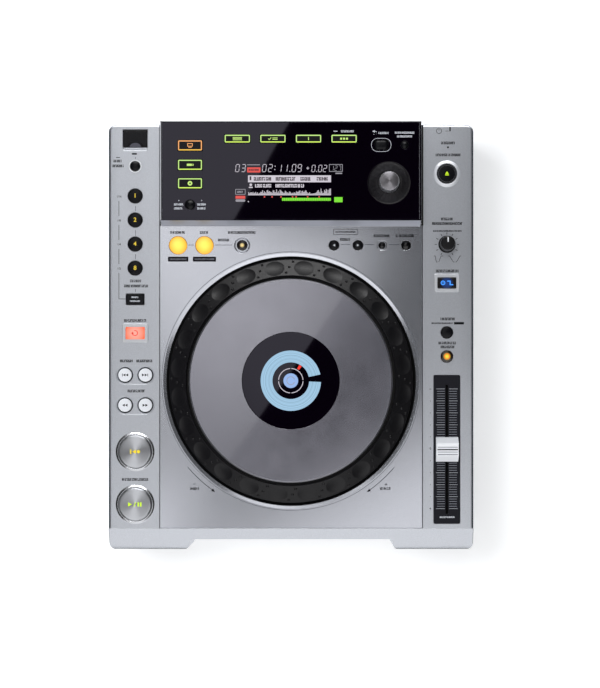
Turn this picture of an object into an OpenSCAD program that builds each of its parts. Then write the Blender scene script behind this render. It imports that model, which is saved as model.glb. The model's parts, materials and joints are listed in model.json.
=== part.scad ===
// Tabletop slot-in disc player with a large jog wheel.
// Millimetres. +X right, +Y to the rear, +Z up. The origin is on the table,
// under the middle of the case.

/* [Body] */
// Margin of the deck on each side of the jog's bevel
deck_side = 3; // [2:0.1:10]
// Depth of the deck ahead of the jog's bevel
deck_ahead = 16.2; // [15:0.1:20]
// Depth of the deck behind it, with the loop buttons
deck_behind = 22.5; // [22:0.1:30]
// Height of the side columns above the table
panel_h = 79.5; // [78:0.5:84]
// Thickness of the moulded walls and panels
skin = 2.5; // [2.2:0.1:2.8]
// Width of each side column
column_w = 42.5; // [41.5:0.5:43.5]
// Step from the columns down to the centre deck
deck_drop = 1.5; // [1:0.1:2]
// Radius of the upright rear corners
rear_corner_r = 6; // [4:1:12]
// Radius of the upright front corners
front_corner_r = 5; // [3:0.5:7]
// Radius of the rolled top edges
edge_r = 2.4; // [1.2:0.1:2.4]
// Gap of the seams between casing pieces
seam = 0.3; // [0.2:0.05:0.4]

/* [Front bezel] */
// Depth of the sloping front bezel in plan
bezel_d = 17.9; // [16:0.1:19]
// Drop of the bezel from its seam to the wing tips
bezel_drop = 9; // [7:0.5:11]
// Radius of the nose between the slope and the upright front
nose_r = 4; // [3:0.5:5]
// Width of the recessed middle of the front
recess_w = 171; // [165:1:175]
// Depth of the recessed middle of the front
recess_d = 8.5; // [6:0.5:9.5]
// Radius of the S-curved recess corners
recess_r = 4; // [2.5:0.5:4.5]
// Height of the disc slot's middle above the table
slot_z = 42; // [40:0.5:43]
// Clear height of the disc slot
slot_h = 5.4; // [5:0.1:6]
// Clear width of the disc slot
slot_w = 126; // [124:1:130]

/* [Display block] */
// Rise of the display block above the columns
display_rise = 15; // [14:0.5:17]
// Depth of the display block at its foot
display_d = 84.9; // [84:0.1:86]
// Lean of its front wall
display_lean = 2.9; // [1.5:0.1:3.5]
// Groove between the block and each column
display_groove = 2; // [1.5:0.1:2.4]
// Rim beside the window
window_side_rim = 1.8; // [1.4:0.1:2.2]
// Rim at the window's front and rear
window_end_rim = 0.9; // [0.6:0.1:1.2]
// Thickness of the display window
window_t = 2; // [1.5:0.1:2.5]
// Width of the screen glass
screen_w = 98; // [94:1:102]
// Depth of the screen glass
screen_d = 38; // [36:1:42]
// Radius of the dish round the selector
dish_r = 17.7; // [16:0.1:19]
// Depth of that dish
dish_depth = 2.6; // [2:0.1:3]
// Radius of the selector knob
selector_r = 8; // [7:0.1:9]
// Height of the selector knob above the window
selector_h = 12.5; // [10:0.5:14]
// Push of the selector
selector_push = 0.5; // [0.3:0.1:0.6]

/* [Jog wheel] */
// Outer radius of the jog ring
jog_r = 100.7; // [99:0.1:101]
// Inner radius of the jog ring's dimpled band
jog_band_r = 86.1; // [85.5:0.1:87]
// Radius of the top plate
plate_r = 84.5; // [83:0.1:85]
// Radius of the fixed display in the middle
jog_display_r = 40.2; // [38:0.1:42]
// Height of the top plate above the columns
jog_rise = 12.5; // [12:0.5:14]
// Thickness of the top plate and of the display
plate_t = 2.5; // [2:0.1:3]
// Give of the top plate under the hand
plate_travel = 0.5; // [0.3:0.1:0.5]
// Number of finger dimples
dimple_count = 24; // [20:1:28]
// Radius of the ball that cuts each dimple
dimple_ball_r = 14; // [12:0.5:16]
// Depth of each dimple
dimple_depth = 1.6; // [1:0.1:2]
// Gap round the jog ring
jog_gap = 1.6; // [1.2:0.1:2]
// Width of the bevel on the deck round the jog
jog_bevel = 4; // [3:0.1:5]

/* [Controls] */
// Inset of each column's control line from the side wall
control_inset = 22.3; // [21.5:0.1:23]
// Radius of the beat buttons
beat_r = 6; // [5.5:0.1:6.5]
// Pitch of the beat buttons
beat_pitch = 20.1; // [18:0.1:20.5]
// Radius of the track and search buttons
track_r = 6.1; // [5.5:0.1:6.3]
// Distance between the two buttons of a pair
track_pitch = 17; // [16:0.1:17.5]
// Radius of the cue and play buttons
cue_r = 13.9; // [13:0.1:14.5]
// Width of the bevel ring round cue, play and eject
ring_w = 2.3; // [1.8:0.1:2.6]
// Radius of the eject button
eject_r = 7.7; // [7:0.1:8.5]
// Radius of the loop in and loop out buttons
loop_r = 7.3; // [6.8:0.1:7.8]
// Radius of the small buttons on the deck
small_r = 4.1; // [3.6:0.1:4.5]
// Radius of the delete button
delete_r = 2.7; // [2.4:0.1:3.2]
// Radius of the tempo range and master tempo buttons
tempo_r = 4.9; // [4.4:0.1:5.4]
// Radius of the speed knob at its foot
speed_r = 7.2; // [6.5:0.1:7.6]
// Height of the speed knob
speed_h = 14; // [11:0.5:16]
// Length of the PC, USB and disc buttons
source_w = 20; // [18:0.5:20.5]
// Length of the four buttons over the screen
browse_w = 21.1; // [19:0.1:21.5]
// Pitch of the four buttons over the screen
browse_pitch = 29.4; // [29:0.1:30]
// Travel of the push buttons
key_travel = 0.8; // [0.6:0.1:1]
// Running gap round every button
key_gap = 0.3; // [0.2:0.05:0.35]
// Width of the collar that keeps a button in its panel
key_collar = 1.2; // [1:0.1:1.4]

/* [Tempo fader] */
// Length of the fader plate
fader_plate_l = 124; // [120:1:126]
// Width of the fader plate
fader_plate_w = 21.9; // [21:0.1:23]
// Travel of the fader cap to each side of its middle
fader_travel = 50; // [45:1:50]
// Length of the fader cap along its travel
fader_cap_l = 20.4; // [18:0.1:21]
// Width of the fader cap
fader_cap_w = 18.5; // [17:0.1:19]
// Height of the fader cap
fader_cap_h = 9; // [7:0.5:11]
// Width of the slot that the fader's blade runs in
fader_slot_w = 2.2; // [2:0.1:2.6]

/* [Chassis and drive] */
// Height of the rubber feet
foot_h = 8; // [7:0.5:8]
// Radius of the rubber feet
foot_r = 13; // [11:0.5:14]
// Thickness of the sheet steel chassis
sheet_t = 1.6; // [1.4:0.1:2]
// Depth of the rear jack recess
jack_recess_d = 12; // [11:0.5:13]
// Width of the case wall on each side of the rear jack recess
jack_recess_side = 16.5; // [15.5:0.1:18.5]
// Height of the rear jack recess above the table
jack_recess_h = 60; // [58:1:62]
// Width of the disc drive
drive_w = 150; // [148:1:154]
// Length of the disc drive
drive_l = 160; // [158:1:164]
// Radius of the loading roller
roller_r = 3.5; // [3.2:0.1:3.8]
// Radius of the turntable
turntable_r = 15; // [14:0.5:17]
// Travel of the optical pickup
pickup_travel = 30; // [26:1:31]
// Radius of the pickup's guide rods
rod_r = 1.5; // [1.3:0.1:1.7]
// Running clearance of shafts and rods
shaft_gap = 0.08; // [0.05:0.01:0.1]

/* [Hidden] */
$fn = 64;

// Colours
silver = [0.76, 0.78, 0.81];
black = [0.08, 0.08, 0.09];
steel = [0.6, 0.61, 0.63];
board_green = [0.1, 0.32, 0.2];

// Overall size, from the jog, the deck round it, the columns, the bezel and the display
bevel_step = 0.7;
jog_hole_r = jog_r + jog_gap;
bevel_r = jog_hole_r + bevel_step + jog_bevel;
deck_half = bevel_r + deck_side;
body_w = 2 * (deck_half + column_w);
body_d = bezel_d + deck_ahead + 2 * bevel_r + deck_behind + display_d;
jack_recess_w = body_w - 2 * jack_recess_side;

// Main planes
rear_y = body_d / 2;
front_y = -body_d / 2;
seam_y = front_y + bezel_d;
base_z = foot_h;
floor_z = foot_h + sheet_t;
column_under = panel_h - skin;
deck_z = panel_h - deck_drop;
deck_under = deck_z - skin;
block_z = panel_h + display_rise;
block_under = block_z - window_t - skin;
block_half = deck_half - display_groove;
block_front_y = rear_y - display_d;
eps = 0.01;

function from_rear(d) = rear_y - d;
function from_front(d) = front_y + d;

// Places of the controls
line_x = body_w / 2 - control_inset;
lid_w = 19.9;
lid_d = 14.4;
lid_t = 2;
lid_axis_r = 1.2;
lid_at = [-line_x, from_rear(11.8)];
usb_stop_r = 3.9;
usb_stop_at = [-line_x, from_rear(35)];
beat_1_rear = 59.8;
beat_at = [for (i = [0:3]) [-line_x, from_rear(beat_1_rear + i * beat_pitch)]];
beat_select_at = [-line_x, from_rear(146.1)];
beat_select_size = [14.9, 8.9];
direction_at = beat_select_at - [0, 28.3];
direction_size = [15.3, 9.5];
track_y = from_front(146.1);
search_y = from_front(120.9);
cue_at = [-line_x, from_front(82.1)];
play_at = [-line_x, from_front(38.1)];
eject_at = [line_x, from_rear(41.3)];
speed_at = [line_x, from_rear(100.3)];
jog_mode_at = [line_x, from_rear(132.5)];
jog_mode_size = [15, 8.8];

fader_ahead = 4.1;
fader_at = [line_x, seam_y + fader_ahead + fader_plate_l / 2];
master_tempo_at = fader_at + [0, fader_plate_l / 2 + 15.6];
tempo_range_at = master_tempo_at + [0, 20.1];
source_x = -block_half + 24.8;
source_h = 8.5;
source_at = [for (d = [20.1, 36.1, 51.4]) [source_x, from_rear(d)]];
time_mode_at = [source_x, from_rear(69.1)];
time_mode_r = 4;
browse_h = 6.6;
browse_at = [for (i = [-1.5:1:1.5]) [i * browse_pitch, from_rear(14.5)]];
back_at = [block_half - 33.2, from_rear(19.6)];
back_size = [11.4, 7.9];
tag_track_at = [block_half - 13.9, from_rear(19.5)];
tag_track_r = 3.3;
selector_at = [block_half - 26.8, from_rear(50.9)];
screen_at = [-1.5, from_rear(51.4)];
deck_row_y = from_rear(100.9);
loop_in_at = [-deck_half + 15.5, deck_row_y];
loop_out_at = [-deck_half + 37.6, deck_row_y];
reloop_at = [-deck_half + 69.1, deck_row_y];
memory_at = [deck_half - 13.8, deck_row_y];
small_pitch = 20.1;
delete_at = memory_at - [small_pitch, 0];
call_forward_at = memory_at - [2 * small_pitch, 0];
call_back_at = memory_at - [3 * small_pitch, 0];
memory_r = 3.8;
pair_recess = [32, 15.5];
pair_recess_depth = 0.4;
frame_w = 3.1;
frame_rise = 0.5;

// Buttons and what is under them
key_rise = 1;
collar_t = 1.2;
key_rest = 0.3;
stem_r = 1.5;
nose_steps = 8;
board_drop = 9;
board_t = 1.6;
switch_h = 3.5;
switch_w = 6;
stem_clear = 0.2;
post_r = 2;

// Jog
jog_at = [0, seam_y + deck_ahead + bevel_r];
jog_base_z = deck_under - 7.5;
jog_base_t = 2;
jog_base_r = jog_hole_r + 1.2;
jog_post_r = 9;
jog_hub_r = 14;
jog_hub_z = jog_base_z + 2;
jog_web_z = deck_z + 2;
jog_web_t = 2.5;
jog_rim_z = panel_h + 3.4;
jog_top_z = panel_h + jog_rise;
jog_band_z = jog_top_z - 2.7;
jog_skirt_z = deck_under - 1.5;
jog_skirt_t = 2.5;
plate_bevel = 1.1;
plate_rest_gap = 0.2;
plate_rib_r = 60;
jog_ear_r = jog_base_r + 4.5;
jog_ear_angles = [30, 150, 210, 270, 330];
dimple_start = 8.3;
dimple_r = (jog_r + jog_band_r) / 2 + 0.9;
bevel_drop = 1.2;

// Drive
drive_front_y = from_front(recess_d + skin + 1);
drive_floor_z = base_z + 16;
drive_top_z = slot_z + 10;
spindle_y = drive_front_y + 78;
roller_y = drive_front_y + 9;
slot_floor_z = slot_z - slot_h / 2;
slot_roof_z = slot_z + slot_h / 2;
roller_z = slot_floor_z - key_rest - roller_r;
roller_half = 55;
roller_shaft_r = 1.5;
motor_r = 11;
spindle_r = 1.5;
turntable_z = slot_floor_z - 0.5;
disc_hub_r = 7.4;
rod_x = 14;
rod_z = drive_floor_z + 8;
pickup_y = spindle_y + 28.5;
pickup_size = [38, 26, 8];
bracket_t = 2;
rod_ends = [spindle_y + 12, pickup_y + pickup_size.y / 2 + pickup_travel + 1.5];

// Rear jacks
jack_y = rear_y - jack_recess_d;
jack_z = 36;
jack_body_d = 14;
phono_r = 4.15;
phono_l = 9;
phono_neck = 0.5;
phono_neck_r = phono_r - 0.25;
phono_at = [-jack_recess_w / 2 + 16, -jack_recess_w / 2 + 34];
digital_x = -jack_recess_w / 2 + 54;
control_x = -jack_recess_w / 2 + 72;
usb_b_x = -jack_recess_w / 2 + 92;
inlet_x = jack_recess_w / 2 - 66;
usb_b_size = [12, 11];
inlet_size = [22, 14];
jack_clear = 0.2;

// ---------------------------------------------------------------- shared shapes

// Rounded rectangle in plan, about the origin
module rounded(size, r) {
    square([size.x - 2 * r, size.y], center = true);
    square([size.x, size.y - 2 * r], center = true);
    for (sx = [-1, 1], sy = [-1, 1])
        translate([sx * (size.x / 2 - r), sy * (size.y / 2 - r)])
            circle(r);
}

// Upright slab with rounded corners, from z0 to z1
module slab(at, size, r, z0, z1) {
    translate([at.x, at.y, z0])
        linear_extrude(z1 - z0)
            rounded(size, r);
}

// Box given by its low and high corners
module span(low, high) {
    translate(low)
        cube(high - low);
}

module quarter(r) {
    intersection() {
        circle(r);
        square(r);
    }
}

// Post or hole of radius r from z0 to z1
module post(at, r, z0, z1) {
    translate([at.x, at.y, z0])
        cylinder(r = r, h = z1 - z0);
}

// Round push button: cap, retaining collar under the panel and stem down to its switch
module round_key(at, r, panel_z, under_z, rise = key_rise, bevel = 0.4) {
    collar_z = under_z - key_rest;
    stem_z = under_z - board_drop + switch_h + key_travel + stem_clear;
    translate([at.x, at.y, 0])
        rotate_extrude()
            polygon([
                [0, stem_z], [stem_r, stem_z], [stem_r, collar_z - collar_t],
                [r + key_collar, collar_z - collar_t], [r + key_collar, collar_z], [r, collar_z],
                [r, panel_z + rise - bevel], [r - bevel, panel_z + rise], [0, panel_z + rise],
            ]);
}

// The same for a rectangular button
module bar_key(at, size, panel_z, under_z, rise = key_rise, r = 0.8) {
    collar_z = under_z - key_rest;
    stem_z = under_z - board_drop + switch_h + key_travel + stem_clear;
    slab(at, size, r, collar_z - collar_t, panel_z + rise);
    slab(at, size + 2 * [key_collar, key_collar], r, collar_z - collar_t, collar_z);
    post(at, stem_r, stem_z, collar_z - collar_t + eps);
}

// Holes for round and rectangular buttons through a panel
module round_key_hole(at, r, z0, z1) {
    post(at, r + key_gap, z0 - 1, z1 + 1);
}

module bar_key_hole(at, size, z0, z1, r = 0.8) {
    slab(at, size + 2 * [key_gap, key_gap], r, z0 - 1, z1 + 1);
}

// Shallow V groove of the given width round a button
module ring_groove(at, r, width, z) {
    translate([at.x, at.y, z])
        rotate_extrude()
            polygon([[r - width / 2, 0.2], [r - width / 2, 0], [r, -width * 0.7], [r + width / 2, 0],
                [r + width / 2, 0.2]]);
}

// Raised frame round a rectangular button
module key_frame(at, size, z) {
    slab(at, size + 2 * [frame_w, frame_w], 1.6, z - eps, z + frame_rise);
}

// Board with its tact switches, hung a fixed distance under a panel
module key_board(low, high, under_z, switches) {
    top = under_z - board_drop;
    span([low.x, low.y, top - board_t], [high.x, high.y, top]);
    for (at = switches) {
        translate([at.x - switch_w / 2, at.y - switch_w / 2, top])
            cube([switch_w, switch_w, switch_h - 0.6]);
        post(at, 1.7, top + switch_h - 0.7, top + switch_h);
    }
}

// ---------------------------------------------------------------- tables of controls

left_round = [
    [usb_stop_at, usb_stop_r],
    [beat_at[0], beat_r], [beat_at[1], beat_r], [beat_at[2], beat_r], [beat_at[3], beat_r],
    [pair_at(track_y, -1), track_r], [pair_at(track_y, 1), track_r],
    [pair_at(search_y, -1), track_r], [pair_at(search_y, 1), track_r],
    [cue_at, cue_r], [play_at, cue_r],
];
left_bars = [[beat_select_at, beat_select_size], [direction_at, direction_size]];
right_round = [
    [eject_at, eject_r], [tempo_range_at, tempo_r], [master_tempo_at, tempo_r],
];
right_bars = [[jog_mode_at, jog_mode_size]];
deck_round = [
    [loop_in_at, loop_r], [loop_out_at, loop_r], [reloop_at, small_r],
    [call_back_at, small_r], [call_forward_at, small_r],
    [delete_at, delete_r], [memory_at, memory_r],
];
block_round = [[time_mode_at, time_mode_r], [tag_track_at, tag_track_r]];
block_bars = [
    for (at = source_at) [at, [source_w, source_h]],
    for (at = browse_at) [at, [browse_w, browse_h]],
    [back_at, back_size],
];

function pair_at(y, side) = [-line_x + side * track_pitch / 2, y];
function places(list) = [for (item = list) item[0]];

// Posts that carry the key boards, as distances from the front or rear
column_x = body_w / 2 - column_w / 2;
board_half_w = column_w / 2 - skin - 1.5;
board_post_x = board_half_w - post_r - 0.5;
left_posts = [
    [-column_x - board_post_x, from_rear(69.8)], [-column_x + board_post_x, from_rear(69.8)],
    [-column_x - board_post_x, from_rear(132)], [-column_x + board_post_x, from_rear(132)],
    [-column_x - board_post_x, from_front(164)], [-column_x + board_post_x, from_front(164)],
    [-column_x - board_post_x, from_front(60)], [-column_x + board_post_x, from_front(60)],
];
right_posts = [
    [column_x - board_post_x, from_rear(69.8)], [column_x + board_post_x, from_rear(69.8)],
    [column_x - board_post_x, from_rear(118)], [column_x + board_post_x, from_rear(118)],
    [column_x - board_post_x, from_front(172)], [column_x + board_post_x, from_front(172)],
    [column_x - board_post_x, from_front(84)], [column_x + board_post_x, from_front(84)],
];
deck_posts = [
    [(loop_out_at.x + reloop_at.x) / 2, deck_row_y], [-15, deck_row_y], [15, deck_row_y],
    [(call_forward_at.x + delete_at.x) / 2 + 0.4, deck_row_y],
];
block_posts = [
    [-browse_pitch, from_rear(14.5)], [0, from_rear(14.5)], [browse_pitch, from_rear(14.5)],
    [source_x - source_w / 2 - 5, from_rear(60)], [block_half - 4.5, from_rear(70)],
];
board_rear_d = 30;
board_front_d = 22;

// ---------------------------------------------------------------- casing

// Case block with rolled top edges, from the front seam to the rear wall
module case_block() {
    w = body_w / 2;
    top = panel_h - edge_r;
    r = rear_corner_r;
    module plan(inset) {
        translate([-w + inset, seam_y])
            square([2 * (w - inset), rear_y - r - seam_y]);
        translate([-w + r, seam_y])
            square([2 * (w - r), rear_y - inset - seam_y]);
        for (s = [-1, 1])
            translate([s * (w - r), rear_y - r])
                circle(r - inset);
    }
    translate([0, 0, base_z])
        linear_extrude(top - base_z)
            plan(0);
    translate([0, 0, top])
        linear_extrude(edge_r)
            plan(edge_r);
    for (s = [-1, 1]) {
        translate([s * (w - edge_r), rear_y - r, top])
            rotate([90, 0, 0])
                linear_extrude(rear_y - r - seam_y)
                    mirror([s < 0 ? 1 : 0, 0])
                        quarter(edge_r);
        translate([s * (w - r), rear_y - r, top])
            rotate([0, 0, s < 0 ? 90 : 0])
                rotate_extrude(angle = 90)
                    translate([r - edge_r, 0])
                        quarter(edge_r);
    }
    translate([-w + r, rear_y - edge_r, top])
        rotate([90, 0, 90])
            linear_extrude(2 * (w - r))
                quarter(edge_r);
}

module case_hollow() {
    w = body_w / 2 - skin;
    r = rear_corner_r - skin;
    translate([0, 0, base_z - 1])
        linear_extrude(column_under - base_z + 1) {
            translate([-w, seam_y - 1])
                square([2 * w, rear_y - skin - r - seam_y + 1]);
            translate([-w + r, seam_y - 1])
                square([2 * (w - r), rear_y - skin - seam_y + 1]);
            for (s = [-1, 1])
                translate([s * (w - r), rear_y - skin - r])
                    circle(r);
        }
}

boss_r = 3.5;
screw_r = 1.4;
screw_clear = 0.15;
boss_x = body_w / 2 - skin - boss_r + 0.6;
screw_y = [from_front(36), from_front(120), from_rear(140), from_rear(34)];
boss_h = 16;

lid_open_gap = 0.4;
lid_rear_y = lid_at.y + lid_d / 2;
lid_axis_y = lid_rear_y - lid_axis_r;
lid_axis_z = panel_h - lid_axis_r;
pocket_wall = 1.6;
pocket_depth = 13;
pocket_floor_z = panel_h - lid_t - pocket_depth;
scoop_r = 4;
scoop_depth = 1;
usb_a_size = [13.1, 5.7];
usb_a_hole = [12.1, 4.8];

module usb_pocket_walls() {
    gap = lid_open_gap;
    span([lid_at.x - lid_w / 2 - gap - pocket_wall, lid_at.y - lid_d / 2 - gap - pocket_wall,
            pocket_floor_z - pocket_wall],
        [lid_at.x + lid_w / 2 + gap + pocket_wall, lid_rear_y + gap + pocket_wall,
            panel_h - eps]);
}

// Inside of the pocket: full width at the lid, a ledge under it all round but the hinge
module usb_pocket_space() {
    ledge = 1.2;
    gap = lid_open_gap;
    span([lid_at.x - lid_w / 2 - gap, lid_at.y - lid_d / 2 - gap, panel_h - lid_t - 0.2],
        [lid_at.x + lid_w / 2 + gap, lid_rear_y + gap, panel_h + 1]);
    span([lid_at.x - lid_w / 2 + ledge, lid_at.y - lid_d / 2 + ledge, pocket_floor_z],
        [lid_at.x + lid_w / 2 - ledge, lid_rear_y + gap, panel_h]);
    span([lid_at.x - lid_w / 2 - gap, lid_axis_y - lid_axis_r - gap, lid_axis_z - lid_axis_r - gap],
        [lid_at.x + lid_w / 2 + gap, lid_rear_y + gap, panel_h]);
    for (s = [-1, 1])
        translate([lid_at.x + s * (lid_w / 2 + gap - eps), lid_axis_y, lid_axis_z])
            rotate([0, s * 90, 0])
                cylinder(r = lid_pin_r + 0.15, h = pocket_wall - 0.4);
    // Scoop for the finger in front of the lid
    translate([lid_at.x - lid_w / 2, lid_at.y - lid_d / 2 - gap, panel_h + scoop_r - scoop_depth])
        rotate([0, 90, 0])
            cylinder(r = scoop_r, h = lid_w);
}

lid_pin_r = 0.6;
lid_pin_l = 0.9;

module upper_case() {
    color(silver)
    difference() {
        union() {
            difference() {
                case_block();
                case_hollow();
                // Opening for the centre deck and the display block
                span([-deck_half, seam_y - 1, deck_under], [deck_half, rear_y + 1, panel_h + 1]);
                // Rear jack recess
                span([-jack_recess_w / 2, rear_y - skin - 1, base_z - 1],
                    [jack_recess_w / 2, rear_y + 1, jack_recess_h]);
            }
            // Roof and cheeks of the jack recess
            difference() {
                span([-jack_recess_w / 2 - skin, jack_y - sheet_t, base_z],
                    [jack_recess_w / 2 + skin, rear_y - skin + eps, jack_recess_h + skin]);
                span([-jack_recess_w / 2, jack_y - sheet_t - 1, base_z - 1],
                    [jack_recess_w / 2, rear_y + 1, jack_recess_h]);
            }
            // Lips along the deck, with the ledges that carry it
            for (s = [-1, 1])
                mirror([s < 0 ? 1 : 0, 0, 0]) {
                    span([deck_half, seam_y, deck_under - 2],
                        [deck_half + 2, rear_y - skin + eps, column_under + eps]);
                    span([deck_half - 5, seam_y, deck_under - 2],
                        [deck_half + eps, rear_y - skin + eps, deck_under]);
                }
            // Screw bosses along the side walls
            for (s = [-1, 1], y = screw_y)
                post([s * boss_x, y], boss_r, floor_z, floor_z + boss_h);
            // Posts for the key boards
            for (at = concat(left_posts, right_posts))
                post(at, post_r, column_under - board_drop, column_under + eps);
            usb_pocket_walls();
            // Raised rings and frames round the big and the lit buttons
            for (item = [[cue_at, cue_r], [play_at, cue_r], [eject_at, eject_r + 0.2]])
                translate([item[0].x, item[0].y, panel_h - eps])
                    cylinder(r1 = item[1] + ring_w, r2 = item[1] + 0.9, h = 0.9);
            key_frame(direction_at, direction_size, panel_h);
            key_frame(jog_mode_at, jog_mode_size, panel_h);
        }
        for (s = [-1, 1], y = screw_y)
            post([s * boss_x, y], screw_r + screw_clear, floor_z - 1, floor_z + boss_h - 2);
        for (item = concat(left_round, right_round))
            round_key_hole(item[0], item[1], column_under - 1, panel_h + 1);
        for (item = concat(left_bars, right_bars))
            bar_key_hole(item[0], item[1], column_under - 1, panel_h + 1);
        for (y = [track_y, search_y]) {
            slab([-line_x, y], pair_recess, pair_recess.y / 2 - 0.1,
                panel_h - pair_recess_depth, panel_h + 1);
            for (side = [-1, 1])
                post(pair_at(y, side), track_r + 2 * key_gap, panel_h - skin / 2, panel_h + 1);
        }
        ring_groove(usb_stop_at, usb_stop_r + 1.4, 0.5, panel_h);
        usb_pocket_space();
        span([lid_at.x - usb_a_size.x / 2 - 0.1, lid_at.y - usb_a_size.y / 2 - 0.1,
                pocket_floor_z - pocket_wall - 1],
            [lid_at.x + usb_a_size.x / 2 + 0.1, lid_at.y + usb_a_size.y / 2 + 0.1, pocket_floor_z + 1]);
        post(speed_at, speed_shaft_r + 0.5, column_under - 1, panel_h + 1);
        // Seat of the fader plate and the slot under it
        slab(fader_at, [fader_plate_w + 0.3, fader_plate_l + 0.3], 1.2,
            panel_h - fader_plate_t, panel_h + 1);
        slab(fader_at, [fader_slot_w + 1, 2 * fader_travel + 9], 0.6, column_under - 1, panel_h);
    }
}

speed_shaft_r = 3;
fader_plate_t = 1.3;

// Profile of the display block seen from the side, leaning at the front
module block_profile(inset, top) {
    lean = display_lean / (block_z - deck_z);
    polygon([
        [block_front_y + inset, deck_under - 1], [block_front_y + inset, deck_z],
        [block_front_y + display_lean + inset - lean * (block_z - top), top],
        [rear_y - inset, top], [rear_y - inset, deck_under - 1],
    ]);
}

module along_x(half) {
    rotate([90, 0, 90])
        translate([0, 0, -half])
            linear_extrude(2 * half)
                children();
}

window_half = block_half - window_side_rim;
window_front_y = block_front_y + display_lean + window_end_rim;
window_rear_y = rear_y - window_end_rim;
dish_floor_r = 11;
dish_wall = 1.8;

module dish_cut(extra) {
    translate([selector_at.x, selector_at.y, block_z - dish_depth])
        cylinder(r1 = dish_floor_r + extra, r2 = dish_r + extra, h = dish_depth + eps);
}

module centre_panel() {
    color(silver)
    difference() {
        union() {
            // Deck
            span([-deck_half + seam, seam_y + seam, deck_under],
                [deck_half - seam, block_front_y + skin, deck_z]);
            // Display block, hollow from below
            difference() {
                along_x(block_half)
                    block_profile(0, block_z);
                along_x(block_half - skin)
                    block_profile(skin, block_under);
                span([-block_half - 1, block_front_y - 1, deck_under - 2],
                    [block_half + 1, rear_y + 1, deck_under]);
            }
            // Ears that rest the block on the ledges
            for (s = [-1, 1])
                mirror([s < 0 ? 1 : 0, 0, 0])
                    span([block_half - skin, block_front_y + skin, deck_under],
                        [deck_half - seam, block_front_y + skin + 12, deck_under + 1.2]);
            // Posts for the jog base, the deck board and the display board
            for (a = jog_ear_angles)
                post(jog_at + jog_ear_r * [cos(a), sin(a)], 3, jog_base_z, deck_under + eps);
            for (at = deck_posts)
                post(at, post_r, deck_under - board_drop, deck_under + eps);
            for (at = block_posts)
                post(at, post_r, block_under - board_drop, block_under + eps);
            // Cup of the selector's dish
            post(selector_at, dish_r - 1, block_z - dish_depth - dish_wall, block_z - window_t);
        }
        // Jog opening and its bevel
        post(jog_at, jog_hole_r, deck_under - 1, deck_z + 1);
        translate([jog_at.x, jog_at.y, deck_z - bevel_drop])
            cylinder(r1 = bevel_r - jog_bevel, r2 = bevel_r, h = bevel_drop + eps);
        // Seat of the window and the opening over the screen
        span([-window_half, window_front_y, block_z - window_t], [window_half, window_rear_y, block_z + 1]);
        span([screen_at.x - screen_w / 2, screen_at.y - screen_d / 2, block_under - 1],
            [screen_at.x + screen_w / 2, screen_at.y + screen_d / 2, block_z]);
        dish_cut(0);
        post(selector_at, selector_shaft_r + key_gap + 1.5, block_under - 3, block_z);
        for (item = deck_round)
            round_key_hole(item[0], item[1], deck_under - 1, deck_z + 1);
        ring_groove(reloop_at, small_r + 2, 0.9, deck_z);
        ring_groove(delete_at, delete_r + 1.4, 0.4, deck_z);
        for (item = block_round)
            round_key_hole(item[0], item[1], block_under - 1, block_z);
        for (item = block_bars)
            bar_key_hole(item[0], item[1], block_under - 1, block_z);
    }
}

selector_shaft_r = 3;

module display_window() {
    color(black)
    difference() {
        span([-window_half + 0.1, window_front_y + 0.1, block_z - window_t],
            [window_half - 0.1, window_rear_y - 0.1, block_z]);
        dish_cut(0.05);
        for (item = block_round)
            round_key_hole(item[0], item[1], block_under, block_z);
        for (item = block_bars)
            bar_key_hole(item[0], item[1], block_under, block_z);
    }
}

// Side profile of the bezel, shrunk by inset: slope, rounded nose and upright front
module bezel_profile(inset) {
    slope = bezel_drop / bezel_d;
    tilt = atan(slope);
    r = nose_r - inset;
    y = front_y + inset + r;
    z = panel_h - slope * (seam_y - y) - (inset + r) / cos(tilt);
    low = inset > 0 ? base_z + inset : base_z - 1;
    rear = inset > 0 ? seam_y + 1 : seam_y;
    polygon(concat(
        [[rear, low], [rear, panel_h - inset / cos(tilt)], [seam_y, panel_h - inset / cos(tilt)]],
        [for (i = [0:nose_steps]) let (a = 90 + tilt + i * (90 - tilt) / nose_steps)
            [y + r * cos(a), z + r * sin(a)]],
        [[front_y + inset, low]]
    ));
}

// Plan of the bezel, shrunk by inset: two wings and the recessed middle
module bezel_plan(inset) {
    w = body_w / 2 - inset;
    r = front_corner_r;
    rr = recess_r;
    recess_half = recess_w / 2 + inset;
    front = front_y + inset;
    recess_y = front_y + recess_d + inset;
    difference() {
        union() {
            translate([-w, front + r])
                square([2 * w, seam_y - front - r]);
            translate([-w + r, front])
                square([2 * (w - r), r]);
            for (s = [-1, 1])
                translate([s * (w - r), front + r])
                    circle(r);
        }
        // Recess with rounded inner corners
        translate([-recess_half, front - 1])
            square([2 * recess_half, recess_y - front + 1 - rr]);
        translate([-recess_half + rr, front - 1])
            square([2 * (recess_half - rr), recess_y - front + 1]);
        for (s = [-1, 1])
            translate([s * (recess_half - rr), recess_y - rr])
                circle(rr);
        // Rounded wing tips
        for (s = [-1, 1])
            difference() {
                translate([s > 0 ? recess_half - 1 : -recess_half - rr, front - 1])
                    square([rr + 1, rr + 1]);
                translate([s * (recess_half + rr), front + rr])
                    circle(rr);
            }
    }
}

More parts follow.
